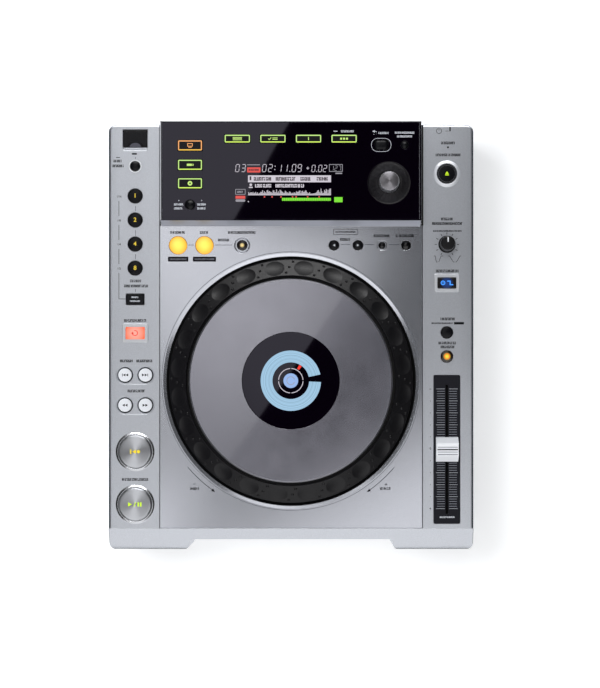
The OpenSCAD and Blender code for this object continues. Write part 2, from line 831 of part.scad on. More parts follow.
module front_bezel() {
    color(silver)
    difference() {
        intersection() {
            along_x(body_w / 2)
                bezel_profile(0);
            translate([0, 0, base_z])
                linear_extrude(panel_h)
                    bezel_plan(0);
        }
        intersection() {
            along_x(body_w / 2)
                bezel_profile(skin);
            translate([0, 0, base_z - 1])
                linear_extrude(panel_h)
                    union() {
                        bezel_plan(skin);
                        translate([-body_w / 2 + skin, seam_y - 1])
                            square([body_w - 2 * skin, 2]);
                    }
        }
        // Open underside behind the front wall
        span([-body_w / 2 + skin, front_y + recess_d + skin, base_z - 1],
            [body_w / 2 - skin, seam_y + 1, base_z + skin + 2]);
        // Disc slot
        translate([0, front_y + recess_d + skin + 1, slot_z])
            rotate([90, 0, 0])
                linear_extrude(skin + 4)
                    rounded([slot_w, slot_h], slot_h / 2 - 0.2);
    }
}

module fader_plate() {
    color(black)
    difference() {
        slab(fader_at, [fader_plate_w, fader_plate_l], 1, panel_h - fader_plate_t, panel_h + 0.4);
        slab(fader_at, [fader_slot_w, 2 * fader_travel + 8], 0.6, panel_h - 3, panel_h + 1);
    }
}

// ---------------------------------------------------------------- chassis

foot_x = body_w / 2 - 27;
foot_y = [from_front(40), from_rear(40)];
psu_low = [drive_w / 2 + 8, from_rear(150)];
psu_high = [drive_w / 2 + 62, from_rear(30)];
transformer = [28, 32, 22];
capacitor_r = 8;
capacitor_h = 24;
sink_d = 12;
sink_h = 20;
fin_pitch = 8;
main_low = [-body_w / 2 + 14, from_rear(160)];
main_high = [drive_w / 2 - 6, from_rear(34)];
standoff_h = 6;
main_posts = [
    for (x = [main_low.x + 5, 0, main_high.x - 5], y = [main_low.y + 5, main_high.y - 5]) [x, y]
];
psu_posts = [
    for (x = [psu_low.x + 5, psu_high.x - 5], y = [psu_low.y + 5, psu_high.y - 5]) [x, y]
];

module rear_panel_holes() {
    translate([0, jack_y + 1, 0]) {
        for (x = phono_at)
            translate([x, 0, jack_z])
                rotate([90, 0, 0])
                    cylinder(r = phono_r + jack_clear, h = sheet_t + 3);
        translate([digital_x, 0, jack_z])
            rotate([90, 0, 0])
                cylinder(r = phono_r + jack_clear, h = sheet_t + 3);
        translate([control_x, 0, jack_z])
            rotate([90, 0, 0])
                cylinder(r = 3 + jack_clear, h = sheet_t + 3);
    }
    power_hole = power_key_size + 2 * [key_gap - jack_clear, key_gap - jack_clear];
    for (item = [[usb_b_x, usb_b_size], [inlet_x, inlet_size], [power_x, power_hole]]) {
        half = item[1] / 2 + [jack_clear, jack_clear];
        span([item[0] - half.x, jack_y - sheet_t - 1, jack_z - half.y],
            [item[0] + half.x, jack_y + 1, jack_z + half.y]);
    }
}

power_x = jack_recess_w / 2 - 12.4;
power_key_size = [14, 9];

module base_chassis() {
    color(steel)
    difference() {
        union() {
            span([-body_w / 2 + skin + seam, from_front(recess_d + skin + seam), base_z],
                [body_w / 2 - skin - seam, jack_y - sheet_t, floor_z]);
            // Jack panel at the rear
            span([-jack_recess_w / 2 + seam, jack_y - sheet_t, base_z],
                [jack_recess_w / 2 - seam, jack_y, jack_recess_h - seam]);
            for (at = concat(main_posts, psu_posts))
                post(at, 3, floor_z - eps, floor_z + standoff_h);
        }
        rear_panel_holes();
        // Cooling slots
        for (i = [-4:4], s = [-1, 1])
            slab([s * (drive_w / 2 + 30) + i * 5, from_rear(90)], [2, 30], 0.9, base_z - 1, floor_z + 1);
        for (s = [-1, 1], y = screw_y)
            post([s * boss_x, y], screw_r + screw_clear, base_z - 1, floor_z + 1);
        // Notches at the rear corners of the case
        for (s = [-1, 1])
            mirror([s < 0 ? 1 : 0, 0, 0])
                span([jack_recess_w / 2 - seam, jack_y - sheet_t - seam, base_z - 1],
                    [body_w / 2, jack_y + 1, floor_z + 1]);
    }
}

module rubber_feet() {
    color(black)
    for (s = [-1, 1], y = foot_y)
        translate([s * foot_x, y, 0])
            rotate_extrude()
                polygon([
                    [0, 0], [foot_r - 2, 0], [foot_r - 1.2, 0.8], [foot_r, foot_h - 2.5],
                    [foot_r, foot_h], [0, foot_h],
                ]);
}

module case_screws() {
    head_h = 1.6;
    head_r = 2.9;
    color(steel)
    for (s = [-1, 1], y = screw_y)
        translate([s * boss_x, y, 0])
            difference() {
                union() {
                    translate([0, 0, base_z - head_h])
                        cylinder(r1 = head_r - 0.8, r2 = head_r, h = head_h);
                    translate([0, 0, base_z - eps])
                        cylinder(r = screw_r, h = sheet_t + boss_h - 4);
                }
                for (a = [0, 90])
                    rotate([0, 0, a])
                        translate([-1.6, -0.35, base_z - head_h - 1])
                            cube([3.2, 0.7, 1.9]);
            }
}

// Jacks lie along -Y: barrels outside the panel, bodies inside
module phono_jack(x) {
    translate([x, jack_y, jack_z])
        difference() {
            union() {
                translate([0, phono_neck, 0])
                    rotate([-90, 0, 0])
                        cylinder(r = phono_r, h = phono_l - phono_neck);
                translate([0, -sheet_t, 0])
                    rotate([-90, 0, 0])
                        cylinder(r = phono_neck_r, h = sheet_t + phono_neck + eps);
                translate([-6, -sheet_t - jack_body_d, -7])
                    cube([12, jack_body_d, 14]);
            }
            translate([0, phono_l - 8, 0])
                rotate([-90, 0, 0])
                    cylinder(r = 1.65, h = 10);
        }
}

module rear_jacks() {
    color([0.2, 0.2, 0.22]) {
        for (x = phono_at)
            phono_jack(x);
        phono_jack(digital_x);
        // Control jack
        translate([control_x, jack_y, jack_z])
            difference() {
                union() {
                    rotate([-90, 0, 0])
                        cylinder(r = 3, h = 2);
                    rotate([90, 0, 0])
                        cylinder(r = 3, h = sheet_t);
                    translate([-4, -sheet_t - jack_body_d, -4])
                        cube([8, jack_body_d, 8]);
                }
                translate([0, -9, 0])
                    rotate([-90, 0, 0])
                        cylinder(r = 1.8, h = 12);
            }
        // USB-B socket with its tongue
        translate([usb_b_x, jack_y, jack_z])
            difference() {
                span([-usb_b_size.x / 2, -sheet_t - jack_body_d, -usb_b_size.y / 2],
                    [usb_b_size.x / 2, 0.6, usb_b_size.y / 2]);
                difference() {
                    translate([-4.3, -9, -3.9])
                        cube([8.6, 11, 7.8]);
                    translate([-2.8, -10, -1.6])
                        cube([5.6, 9.5, 3.2]);
                }
            }
        // Mains inlet with two pins
        translate([inlet_x, jack_y, jack_z])
            difference() {
                span([-inlet_size.x / 2, -sheet_t - jack_body_d - 2, -inlet_size.y / 2],
                    [inlet_size.x / 2, 1, inlet_size.y / 2]);
                difference() {
                    translate([-8.6, -inlet_depth, -4.6])
                        cube([17.2, inlet_depth + 2, 9.2]);
                    for (s = [-1, 1])
                        translate([s * inlet_pin_x, -inlet_depth - 1, 0])
                            rotate([-90, 0, 0])
                                cylinder(r = 1.15, h = inlet_depth - 2);
                }
            }
        // Power switch behind its button, with the two lugs that hold it to the panel
        lug_x = power_key_size.x / 2 + key_collar + key_gap;
        switch_y = jack_y - sheet_t - key_rest - collar_t - key_travel - stem_clear;
        translate([power_x, 0, jack_z]) {
            span([-lug_x - 2, switch_y - 12, -6], [lug_x + 2, switch_y, 6]);
            for (s = [-1, 1])
                mirror([s < 0 ? 1 : 0, 0, 0])
                    span([lug_x, switch_y - eps, -6], [lug_x + 2, jack_y - sheet_t, 6]);
        }
    }
    // The USB-A socket stands in its pocket under the lid
    color(steel)
    translate([lid_at.x, lid_at.y, 0])
        difference() {
            span([-usb_a_size.x / 2, -usb_a_size.y / 2, pocket_floor_z - pocket_wall],
                [usb_a_size.x / 2, usb_a_size.y / 2, pocket_floor_z + 1.5]);
            difference() {
                span([-usb_a_hole.x / 2, -usb_a_hole.y / 2, pocket_floor_z - 0.8],
                    [usb_a_hole.x / 2, usb_a_hole.y / 2, pocket_floor_z + 3]);
                span([-usb_a_hole.x / 2 + 0.8, 0.4, pocket_floor_z - 2],
                    [usb_a_hole.x / 2 - 0.8, 2, pocket_floor_z + 0.8]);
            }
        }
}

inlet_depth = 13;
inlet_pin_x = 4.3;

module power_button() {
    color(black) {
        translate([power_x, jack_y, jack_z])
            rotate([-90, 0, 0]) {
                translate([0, 0, -sheet_t - key_rest - collar_t])
                    linear_extrude(sheet_t + key_rest + collar_t + 2.5)
                        rounded(power_key_size, 0.8);
                translate([0, 0, -sheet_t - key_rest - collar_t])
                    linear_extrude(collar_t)
                        rounded(power_key_size + 2 * [key_collar, key_collar], 0.8);
            }
    }
}

// ---------------------------------------------------------------- controls of the columns

module usb_lid() {
    color(black)
    difference() {
        union() {
            span([lid_at.x - lid_w / 2, lid_at.y - lid_d / 2, panel_h - lid_t],
                [lid_at.x + lid_w / 2, lid_axis_y, panel_h]);
            translate([lid_at.x - lid_w / 2, lid_axis_y, lid_axis_z])
                rotate([0, 90, 0])
                    cylinder(r = lid_axis_r, h = lid_w);
            translate([lid_at.x - lid_w / 2 - lid_pin_l, lid_axis_y, lid_axis_z])
                rotate([0, 90, 0])
                    cylinder(r = lid_pin_r, h = lid_w + 2 * lid_pin_l);
        }
        // Thumb notch
        translate([lid_at.x, lid_at.y - lid_d / 2 - 5, panel_h - 1])
            cylinder(r = 9, h = 2);
    }
}

module column_round(at, r, rise = key_rise) {
    round_key(at, r, panel_h, column_under, rise);
}

module column_bar(at, size, rise = key_rise) {
    bar_key(at, size, panel_h, column_under, rise);
}

module usb_stop_button() { color(black) column_round(usb_stop_at, usb_stop_r, 1.6); }
module beat_button_1() { color(black) column_round(beat_at[0], beat_r); }
module beat_button_2() { color(black) column_round(beat_at[1], beat_r); }
module beat_button_4() { color(black) column_round(beat_at[2], beat_r); }
module beat_button_8() { color(black) column_round(beat_at[3], beat_r); }
module beat_select_button() { color(black) column_bar(beat_select_at, beat_select_size); }
module direction_button() { color([0.9, 0.45, 0.35]) column_bar(direction_at, direction_size); }
module track_back_button() { color("white") column_round(pair_at(track_y, -1), track_r); }
module track_forward_button() { color("white") column_round(pair_at(track_y, 1), track_r); }
module search_back_button() { color("white") column_round(pair_at(search_y, -1), track_r); }
module search_forward_button() { color("white") column_round(pair_at(search_y, 1), track_r); }
module cue_button() { color([0.75, 0.7, 0.6]) column_round(cue_at, cue_r, 1.8); }
module play_button() { color([0.6, 0.75, 0.65]) column_round(play_at, cue_r, 1.8); }
module eject_button() { color(black) column_round(eject_at, eject_r, 1.2); }
module jog_mode_button() { color(black) column_bar(jog_mode_at, jog_mode_size); }
module tempo_range_button() { color(black) column_round(tempo_range_at, tempo_r, 1.6); }
module master_tempo_button() { color(black) column_round(master_tempo_at, tempo_r, 1.6); }

// Knob with a flared foot, a pointer groove and its shaft
module vinyl_speed_knob() {
    foot_z = panel_h + 0.4;
    top_z = panel_h + speed_h;
    color(black)
    translate([speed_at.x, speed_at.y, 0])
        difference() {
            rotate_extrude()
                polygon([
                    [0, pot_z + 1], [speed_shaft_r, pot_z + 1], [speed_shaft_r, foot_z],
                    [speed_r, foot_z], [speed_r, foot_z + 1.4], [speed_r - 0.9, foot_z + 2],
                    [speed_r - 1.3, top_z - 0.6], [speed_r - 1.9, top_z], [0, top_z],
                ]);
            translate([-0.45, 0.6, top_z - 0.5])
                cube([0.9, speed_r, 1]);
        }
}

pot_z = column_under - board_drop + 5;

module tempo_fader_cap() {
    l = fader_cap_l / 2;
    foot_z = panel_h + 0.4 + 0.3;
    top_z = foot_z + fader_cap_h;
    color("white") {
        translate([fader_at.x, fader_at.y, 0])
            difference() {
                translate([-fader_cap_w / 2, 0, 0])
                    rotate([90, 0, 90])
                        linear_extrude(fader_cap_w)
                            polygon([
                                [-l, foot_z], [-l, foot_z + 2], [-l + 5, top_z - 0.6],
                                [-l + 6, top_z], [-1.6, top_z - 1.1], [-1.2, top_z - 0.5],
                                [1.2, top_z - 0.5], [1.6, top_z - 1.1], [l - 6, top_z],
                                [l - 5, top_z - 0.6], [l, foot_z + 2], [l, foot_z],
                            ]);
                for (s = [-1, 1])
                    translate([s * (fader_cap_w / 2 + 9.4), 0, foot_z])
                        rotate([0, s * 8, 0])
                            translate([-9, -l - 1, -2])
                                cube([18, 2 * l + 2, fader_cap_h + 6]);
            }
        // Blade down to the fader's carriage
        span([fader_at.x - fader_slot_w / 2 + key_gap, fader_at.y - 3, fader_blade_z],
            [fader_at.x + fader_slot_w / 2 - key_gap, fader_at.y + 3, foot_z + eps]);
    }
}

fader_blade_z = column_under - 5;

// ---------------------------------------------------------------- controls of the block and the deck

module block_key(at, size, rise = 0.6) {
    bar_key(at, size, block_z, block_under, rise);
}

module deck_key(at, r, rise = key_rise) {
    round_key(at, r, deck_z, deck_under, rise);
}

module pc_button() { color(black) block_key(source_at[0], [source_w, source_h]); }
module usb_button() { color(black) block_key(source_at[1], [source_w, source_h]); }
module disc_button() { color(black) block_key(source_at[2], [source_w, source_h]); }
module time_mode_button() { color(black) round_key(time_mode_at, time_mode_r, block_z, block_under); }
module browse_button() { color(black) block_key(browse_at[0], [browse_w, browse_h]); }
module tag_list_button() { color(black) block_key(browse_at[1], [browse_w, browse_h]); }
module info_button() { color(black) block_key(browse_at[2], [browse_w, browse_h]); }
module menu_button() { color(black) block_key(browse_at[3], [browse_w, browse_h]); }
module back_button() { color(black) block_key(back_at, back_size, 1); }
module tag_track_button() { color(black) round_key(tag_track_at, tag_track_r, block_z, block_under); }
module loop_in_button() { color([1, 1, 0.6]) deck_key(loop_in_at, loop_r); }
module loop_out_button() { color([1, 1, 0.6]) deck_key(loop_out_at, loop_r); }
module reloop_button() { color(black) deck_key(reloop_at, small_r); }
module call_back_button() { color(black) deck_key(call_back_at, small_r); }
module call_forward_button() { color(black) deck_key(call_forward_at, small_r); }
module delete_button() { color(black) deck_key(delete_at, delete_r, 0.6); }
module memory_button() { color(black) deck_key(memory_at, memory_r); }

encoder_top = block_under - board_drop + 6;
selector_top_z = block_z + selector_h;
selector_foot_z = block_z - dish_depth + selector_push + 0.3;

module selector_shaft() {
    color(steel)
    post(selector_at, selector_shaft_r, encoder_top + selector_push + stem_clear, selector_top_z - 3);
}

// Fluted knob that turns on the shaft
module selector_knob() {
    flutes = 12;
    color(black)
    translate([selector_at.x, selector_at.y, 0])
        difference() {
            rotate_extrude()
                polygon([
                    [0, selector_foot_z], [selector_r + 1.6, selector_foot_z],
                    [selector_r + 1.2, selector_foot_z + 1.6], [selector_r + 0.3, selector_foot_z + 2.2],
                    [selector_r + 0.3, selector_top_z - 1], [selector_r - 0.9, selector_top_z],
                    [0, selector_top_z],
                ]);
            translate([0, 0, selector_foot_z - 1])
                cylinder(r = selector_shaft_r + shaft_gap, h = selector_top_z - selector_foot_z - 1.9);
            for (i = [0:flutes - 1])
                rotate([0, 0, i * 360 / flutes])
                    translate([selector_r + 1.5, 0, selector_foot_z + 2.2])
                        cylinder(r = 1.7, h = selector_h + 9, $fn = 24);
        }
}

// ---------------------------------------------------------------- jog wheel

module jog_post() {
    color(steel)
    translate([jog_at.x, jog_at.y, 0]) {
        rotate_extrude()
            polygon([
                [0, jog_base_z - jog_base_t], [jog_base_r, jog_base_z - jog_base_t],
                [jog_base_r, jog_base_z], [jog_hub_r, jog_base_z], [jog_hub_r, jog_hub_z],
                [jog_post_r, jog_hub_z], [jog_post_r, jog_web_z + jog_web_t + 0.5],
                [20, jog_web_z + jog_web_t + 0.5], [20, jog_top_z - plate_t], [0, jog_top_z - plate_t],
            ]);
        for (a = jog_ear_angles)
            rotate([0, 0, a])
                span([jog_base_r - 4, -5, jog_base_z - jog_base_t], [jog_ear_r + 4, 5, jog_base_z]);
    }
}

module jog_ring() {
    web_top = jog_web_z + jog_web_t;
    dimple_z = jog_rim_z + (jog_band_z - jog_rim_z) * (jog_r - dimple_r) / (jog_r - jog_band_r);
    tilt = atan((jog_band_z - jog_rim_z) / (jog_r - jog_band_r));
    reach = dimple_ball_r - dimple_depth;
    color([0.16, 0.16, 0.17])
    translate([jog_at.x, jog_at.y, 0])
        difference() {
            rotate_extrude($fn = 128)
                polygon([
                    [jog_post_r + shaft_gap, jog_hub_z], [jog_hub_r, jog_hub_z], [jog_hub_r, jog_web_z],
                    [jog_r - jog_skirt_t, jog_web_z], [jog_r - jog_skirt_t, jog_skirt_z],
                    [jog_r, jog_skirt_z], [jog_r, jog_rim_z - 0.6], [jog_r - 0.6, jog_rim_z],
                    [jog_band_r + 0.7, jog_band_z], [jog_band_r, jog_band_z - 0.5],
                    [jog_band_r, web_top], [plate_rib_r + 2, web_top],
                    [plate_rib_r + 2, plate_rib_z], [plate_rib_r - 2, plate_rib_z],
                    [plate_rib_r - 2, web_top], [jog_post_r + shaft_gap, web_top],
                ]);
            for (i = [0:dimple_count - 1])
                rotate([0, 0, dimple_start + i * 360 / dimple_count])
                    translate([dimple_r + reach * sin(tilt), 0, dimple_z + reach * cos(tilt)])
                        sphere(dimple_ball_r);
        }
}

plate_rib_z = jog_top_z - plate_t - plate_travel - plate_rest_gap;

module jog_top_plate() {
    color([0.45, 0.45, 0.48])
    translate([jog_at.x, jog_at.y, 0])
        rotate_extrude($fn = 128)
            polygon([
                [jog_display_r + key_gap, jog_top_z - plate_t], [plate_r, jog_top_z - plate_t],
                [plate_r, jog_top_z - plate_bevel * 0.8], [plate_r - plate_bevel, jog_top_z],
                [jog_display_r + key_gap, jog_top_z],
            ]);
}

module jog_display() {
    color(black)
    post(jog_at, jog_display_r, jog_top_z - plate_t, jog_top_z);
}

// ---------------------------------------------------------------- disc drive

module drive_chassis() {
    w = drive_w / 2;
    wall = 1.5;
    rear = drive_front_y + drive_l;
    color(steel)
    difference() {
        union() {
            span([-w, drive_front_y, drive_floor_z], [w, rear, drive_floor_z + wall]);
            for (s = [-1, 1])
                mirror([s < 0 ? 1 : 0, 0, 0]) {
                    span([w - wall, drive_front_y, drive_floor_z], [w, rear, drive_top_z]);
                    for (y = [drive_front_y + 8, rear - 8])
                        post([w - 8, y], 4, floor_z, drive_floor_z + eps);
                    // Rods of the pickup and their brackets
                    translate([rod_x, rod_ends[0], rod_z])
                        rotate([-90, 0, 0])
                            cylinder(r = rod_r, h = rod_ends[1] + bracket_t - rod_ends[0]);
                    for (y = rod_ends)
                        span([rod_x - 3, y, drive_floor_z], [rod_x + 3, y + bracket_t, rod_z + 3]);
                }
            span([-w, rear - wall, drive_floor_z], [w, rear, drive_top_z]);
            span([-w, drive_front_y, drive_top_z - wall], [w, rear, drive_top_z]);
            // Upper guide over the roller
            span([-w, roller_y - 4, slot_roof_z + 0.2], [w, roller_y + 4, drive_top_z]);
            // Spindle motor
            post([0, spindle_y], motor_r, drive_floor_z, turntable_z - 4);
        }
        post([0, spindle_y], spindle_r + shaft_gap, drive_floor_z + 3, turntable_z);
        translate([-w - 1, roller_y, roller_z])
            rotate([0, 90, 0])
                cylinder(r = roller_shaft_r + shaft_gap, h = drive_w + 2);
    }
}

module loading_roller() {
    color(black)
    translate([0, roller_y, roller_z])
        rotate([0, 90, 0]) {
            translate([0, 0, -drive_w / 2])
                cylinder(r = roller_shaft_r, h = drive_w);
            translate([0, 0, -roller_half])
                cylinder(r = roller_r, h = 2 * roller_half);
        }
}

module disc_turntable() {
    color(steel)
    translate([0, spindle_y, 0])
        rotate_extrude()
            polygon([
                [0, drive_floor_z + 4], [spindle_r, drive_floor_z + 4], [spindle_r, turntable_z - 3],
                [turntable_r - 2, turntable_z - 3], [turntable_r, turntable_z - 2.2],
                [turntable_r, turntable_z - 0.6], [disc_hub_r, turntable_z - 0.6],
                [disc_hub_r - 0.6, turntable_z],
                [0, turntable_z],
            ]);
}

module optical_pickup() {
    size = pickup_size;
    color([0.25, 0.25, 0.28])
    difference() {
        union() {
            span([-size.x / 2, pickup_y - size.y / 2, rod_z - size.z / 2],
                [size.x / 2, pickup_y + size.y / 2, rod_z + size.z / 2]);
            post([0, pickup_y], 3.5, rod_z + size.z / 2 - eps, rod_z + size.z / 2 + 1.6);
        }
        for (s = [-1, 1])
            translate([s * rod_x, pickup_y - size.y / 2 - 1, rod_z])
                rotate([-90, 0, 0])
                    cylinder(r = rod_r + shaft_gap, h = size.y + 2);
    }
}

// ---------------------------------------------------------------- electronics

module circuit_boards() {
    color(board_green) {
        // Left and right key boards
        key_board([-column_x - board_half_w, from_front(board_front_d)],
            [-column_x + board_half_w, from_rear(board_rear_d)],
            column_under, concat(places(left_round), places(left_bars)));
        key_board([column_x - board_half_w, from_front(board_front_d)],
            [column_x + board_half_w, from_rear(board_rear_d)],
            column_under, concat(places(right_round), places(right_bars)));
        // Deck and display boards
        key_board([loop_in_at.x - 4, deck_row_y - 5], [memory_at.x + 4, deck_row_y + 5],
            deck_under, places(deck_round));
        key_board([-block_half + skin + 1, block_front_y + display_lean + skin + 4],
            [block_half - skin - 1, rear_y - skin - 3],
            block_under, concat(places(block_round), places(block_bars)));
    }
    // Speed pot, encoder and fader
    color(steel) {
        top = column_under - board_drop;
        difference() {
            translate([speed_at.x - 5, speed_at.y - 5, top])
                cube([10, 10, pot_z + 2.4 - top]);
            post(speed_at, speed_shaft_r + shaft_gap, pot_z + 0.8, pot_z + 4);
        }
        difference() {
            span([fader_at.x - 6, fader_at.y - fader_travel - 9, top],
                [fader_at.x + 6, fader_at.y + fader_travel + 9, column_under]);
            span([fader_at.x - 2, fader_at.y - fader_travel - 5, fader_blade_z - 0.5],
                [fader_at.x + 2, fader_at.y + fader_travel + 5, column_under + 1]);
        }
        difference() {
            translate([selector_at.x - 6, selector_at.y - 6, block_under - board_drop])
                cube([12, 12, encoder_top + 2 - block_under + board_drop]);
            post(selector_at, selector_shaft_r + shaft_gap, encoder_top, encoder_top + 3);
        }
    }
    // Main board with its chips and connectors
    main_z = floor_z + standoff_h;
    color(board_green)
    span([main_low.x, main_low.y, main_z], [main_high.x, main_high.y, main_z + board_t]);
    color(black)
    for (chip = [[-90, 60, 18], [-55, 95, 24], [-20, 60, 14], [25, 100, 20], [45, 60, 12]])
        translate([chip.x, from_rear(chip.y), main_z + board_t])
            linear_extrude(2.2)
                square([chip.z, chip.z], center = true);
}

module power_supply() {
    z = floor_z + standoff_h;
    w = psu_high.x - psu_low.x;
    mid = (psu_low + psu_high) / 2;
    color([0.75, 0.6, 0.35])
    span([psu_low.x, psu_low.y, z], [psu_high.x, psu_high.y, z + board_t]);
    color(black) {
        // Transformer, capacitors and heat sink
        translate([mid.x - transformer.x / 2, mid.y - transformer.y / 2, z + board_t])
            cube(transformer);
        for (s = [-1, 1])
            post([mid.x + s * transformer.x / 2, mid.y + transformer.y / 2 + 20], capacitor_r,
                z + board_t, z + board_t + capacitor_h);
    }
    color(steel)
    difference() {
        translate([mid.x - w / 2 + 6, mid.y - sink_d - 36, z + board_t])
            cube([w - 12, sink_d, sink_h]);
        for (i = [-2:2])
            translate([mid.x + (i - 0.25) * fin_pitch, mid.y - sink_d - 37, z + board_t + 3])
                cube([fin_pitch / 2, sink_d - 3, sink_h]);
    }
}

// Fluorescent screen: glass under the window, on a frame that stands on the display board
module screen_module() {
    board_top = block_under - board_drop;
    glass_t = 3;
    glass_z = block_z - window_t - key_rest - glass_t;
    low = [screen_at.x - screen_w / 2 + key_gap, screen_at.y - screen_d / 2 + key_gap];
    high = [screen_at.x + screen_w / 2 - key_gap, screen_at.y + screen_d / 2 - key_gap];
    color([0.1, 0.12, 0.12])
    span([low.x, low.y, glass_z], [high.x, high.y, glass_z + glass_t]);
    color(steel)
    for (s = [-1, 1])
        span([screen_at.x + s * (screen_w / 2 - 6) - 2, low.y, board_top],
            [screen_at.x + s * (screen_w / 2 - 6) + 2, high.y, glass_z]);
}

upper_case();
centre_panel();
display_window();
front_bezel();
fader_plate();
base_chassis();
rubber_feet();
case_screws();
rear_jacks();
power_button();
usb_lid();
usb_stop_button();
beat_button_1();
beat_button_2();
beat_button_4();
beat_button_8();
beat_select_button();
direction_button();
track_back_button();
track_forward_button();
search_back_button();
search_forward_button();
cue_button();
play_button();
pc_button();
usb_button();
disc_button();
time_mode_button();
browse_button();
tag_list_button();
info_button();
menu_button();
back_button();
tag_track_button();
selector_shaft();
selector_knob();
loop_in_button();
loop_out_button();
reloop_button();
call_back_button();
call_forward_button();
delete_button();
memory_button();
eject_button();
vinyl_speed_knob();
jog_mode_button();
tempo_range_button();
master_tempo_button();
tempo_fader_cap();
jog_post();
jog_ring();
jog_top_plate();
jog_display();
drive_chassis();
loading_roller();
disc_turntable();
optical_pickup();
circuit_boards();
power_supply();
screen_module();
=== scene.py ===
"""Looks of the tabletop disc player: finishes, printed marks, lit keys, camera and studio."""

import json
import math
import random

import bmesh
import bpy
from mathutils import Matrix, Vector
from mathutils.bvhtree import BVHTree

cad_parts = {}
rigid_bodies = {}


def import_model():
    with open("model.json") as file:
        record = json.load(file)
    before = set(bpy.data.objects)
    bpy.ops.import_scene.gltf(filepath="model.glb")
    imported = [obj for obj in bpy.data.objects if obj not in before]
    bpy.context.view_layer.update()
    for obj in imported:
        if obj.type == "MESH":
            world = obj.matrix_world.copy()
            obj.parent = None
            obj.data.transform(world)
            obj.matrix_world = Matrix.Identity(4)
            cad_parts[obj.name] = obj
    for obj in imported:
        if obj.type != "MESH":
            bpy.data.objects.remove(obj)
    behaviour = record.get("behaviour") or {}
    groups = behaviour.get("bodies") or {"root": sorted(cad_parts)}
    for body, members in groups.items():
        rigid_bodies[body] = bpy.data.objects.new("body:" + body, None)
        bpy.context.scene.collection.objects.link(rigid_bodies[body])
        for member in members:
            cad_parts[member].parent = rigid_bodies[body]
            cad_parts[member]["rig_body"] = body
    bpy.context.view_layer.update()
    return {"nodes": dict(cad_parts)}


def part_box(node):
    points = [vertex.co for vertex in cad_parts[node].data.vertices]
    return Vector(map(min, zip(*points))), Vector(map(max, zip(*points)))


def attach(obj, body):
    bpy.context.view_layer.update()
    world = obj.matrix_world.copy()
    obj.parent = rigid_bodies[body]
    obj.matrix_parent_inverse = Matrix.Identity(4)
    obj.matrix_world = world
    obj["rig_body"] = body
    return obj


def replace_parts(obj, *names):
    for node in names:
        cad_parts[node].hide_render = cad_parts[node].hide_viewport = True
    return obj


for leftover in list(bpy.data.objects):
    bpy.data.objects.remove(leftover, do_unlink=True)
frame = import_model()

MM = 0.001
draw = random.Random(23)
slot_of = {node: part.material_slots[0].material.name for node, part in frame["nodes"].items()}
scene = bpy.context.scene


# ------------------------------------------------------------ places, in millimetres

def spot(node):
    """Middle of a node, seen from above."""
    low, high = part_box(node)
    return (low.x + high.x) / 2 / MM, (low.y + high.y) / 2 / MM


def top(node):
    """Height of a node's highest point."""
    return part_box(node)[1].z / MM


faces_of = {}


def height_on(node, x, y):
    """Height of a node's upper face at a place."""
    if node not in faces_of:
        mesh = frame["nodes"][node].data
        faces_of[node] = BVHTree.FromPolygons([v.co for v in mesh.vertices],
                                              [p.vertices for p in mesh.polygons])
    hit = faces_of[node].ray_cast(Vector((x * MM, y * MM, 1)), Vector((0, 0, -1)))[0]
    return hit.z / MM


# Heights of the deck, the side columns, the display window and the block's rim round it.
DECK = height_on("centre_panel", 0, 74)
COLUMN = height_on("upper_case", -118, 0)
WINDOW = height_on("display_window", -95, 170)
RIM = height_on("centre_panel", 107, 130)
# Middle of the jog, and the height of its plate and of the display in it.
JOG = spot("jog_top_plate")
JOG_TOP = top("jog_top_plate")


# ------------------------------------------------------------ shader building blocks

def tone(red, green, blue):
    """Linear colour from the 0 to 255 values it shows as."""
    return [v / 255 / 12.92 if v <= 10 else ((v / 255 + 0.055) / 1.055) ** 2.4
            for v in (red, green, blue)]


def place(tree, kind, sockets=None, **settings):
    """A shader node with its settings, and each socket given a value or a link."""
    made = tree.nodes.new(kind)
    for key, value in settings.items():
        setattr(made, key, value)
    for key, value in (sockets or {}).items():
        if isinstance(value, bpy.types.NodeSocket):
            tree.links.new(value, made.inputs[key])
        else:
            made.inputs[key].default_value = value
    return made


def work(tree, operation, *values):
    """Output of a Math node on numbers and links."""
    return place(tree, "ShaderNodeMath", dict(enumerate(values)), operation=operation).outputs[0]


def vector_work(tree, operation, *values):
    """A vector Math node on vectors and links."""
    return place(tree, "ShaderNodeVectorMath", dict(enumerate(values)), operation=operation)


def here(tree):
    """Place on the piece, in metres."""
    return place(tree, "ShaderNodeTexCoord").outputs["Object"]


def outward(tree, centre):
    """Level direction and distance from a centre to the place on the piece."""
    away = vector_work(tree, "SUBTRACT", here(tree), centre).outputs[0]
    return vector_work(tree, "MULTIPLY", away, (1, 1, 0)).outputs[0]


def reach_from(tree, centre):
    """Level distance from a centre."""
    return vector_work(tree, "LENGTH", outward(tree, centre)).outputs["Value"]


def metres(at):
    """A place seen from above, given in millimetres, as a vector in metres."""
    return [v * MM for v in at] + [0]


KINDS = {"F": "NodeSocketFloat", "V": "NodeSocketVector", "C": "NodeSocketColor"}


def effect(name, takes, gives):
    """An empty shader group with named sockets, its input ends and its output ends."""
    tree = bpy.data.node_groups.new(name, "ShaderNodeTree")
    for label, (kind, value) in takes.items():
        socket = tree.interface.new_socket(label, in_out="INPUT", socket_type=KINDS[kind])
        socket.default_value = value
    for label, kind in gives.items():
        tree.interface.new_socket(label, in_out="OUTPUT", socket_type=KINDS[kind])
    start, end = tree.nodes.new("NodeGroupInput"), tree.nodes.new("NodeGroupOutput")
    return tree, start.outputs, end.inputs


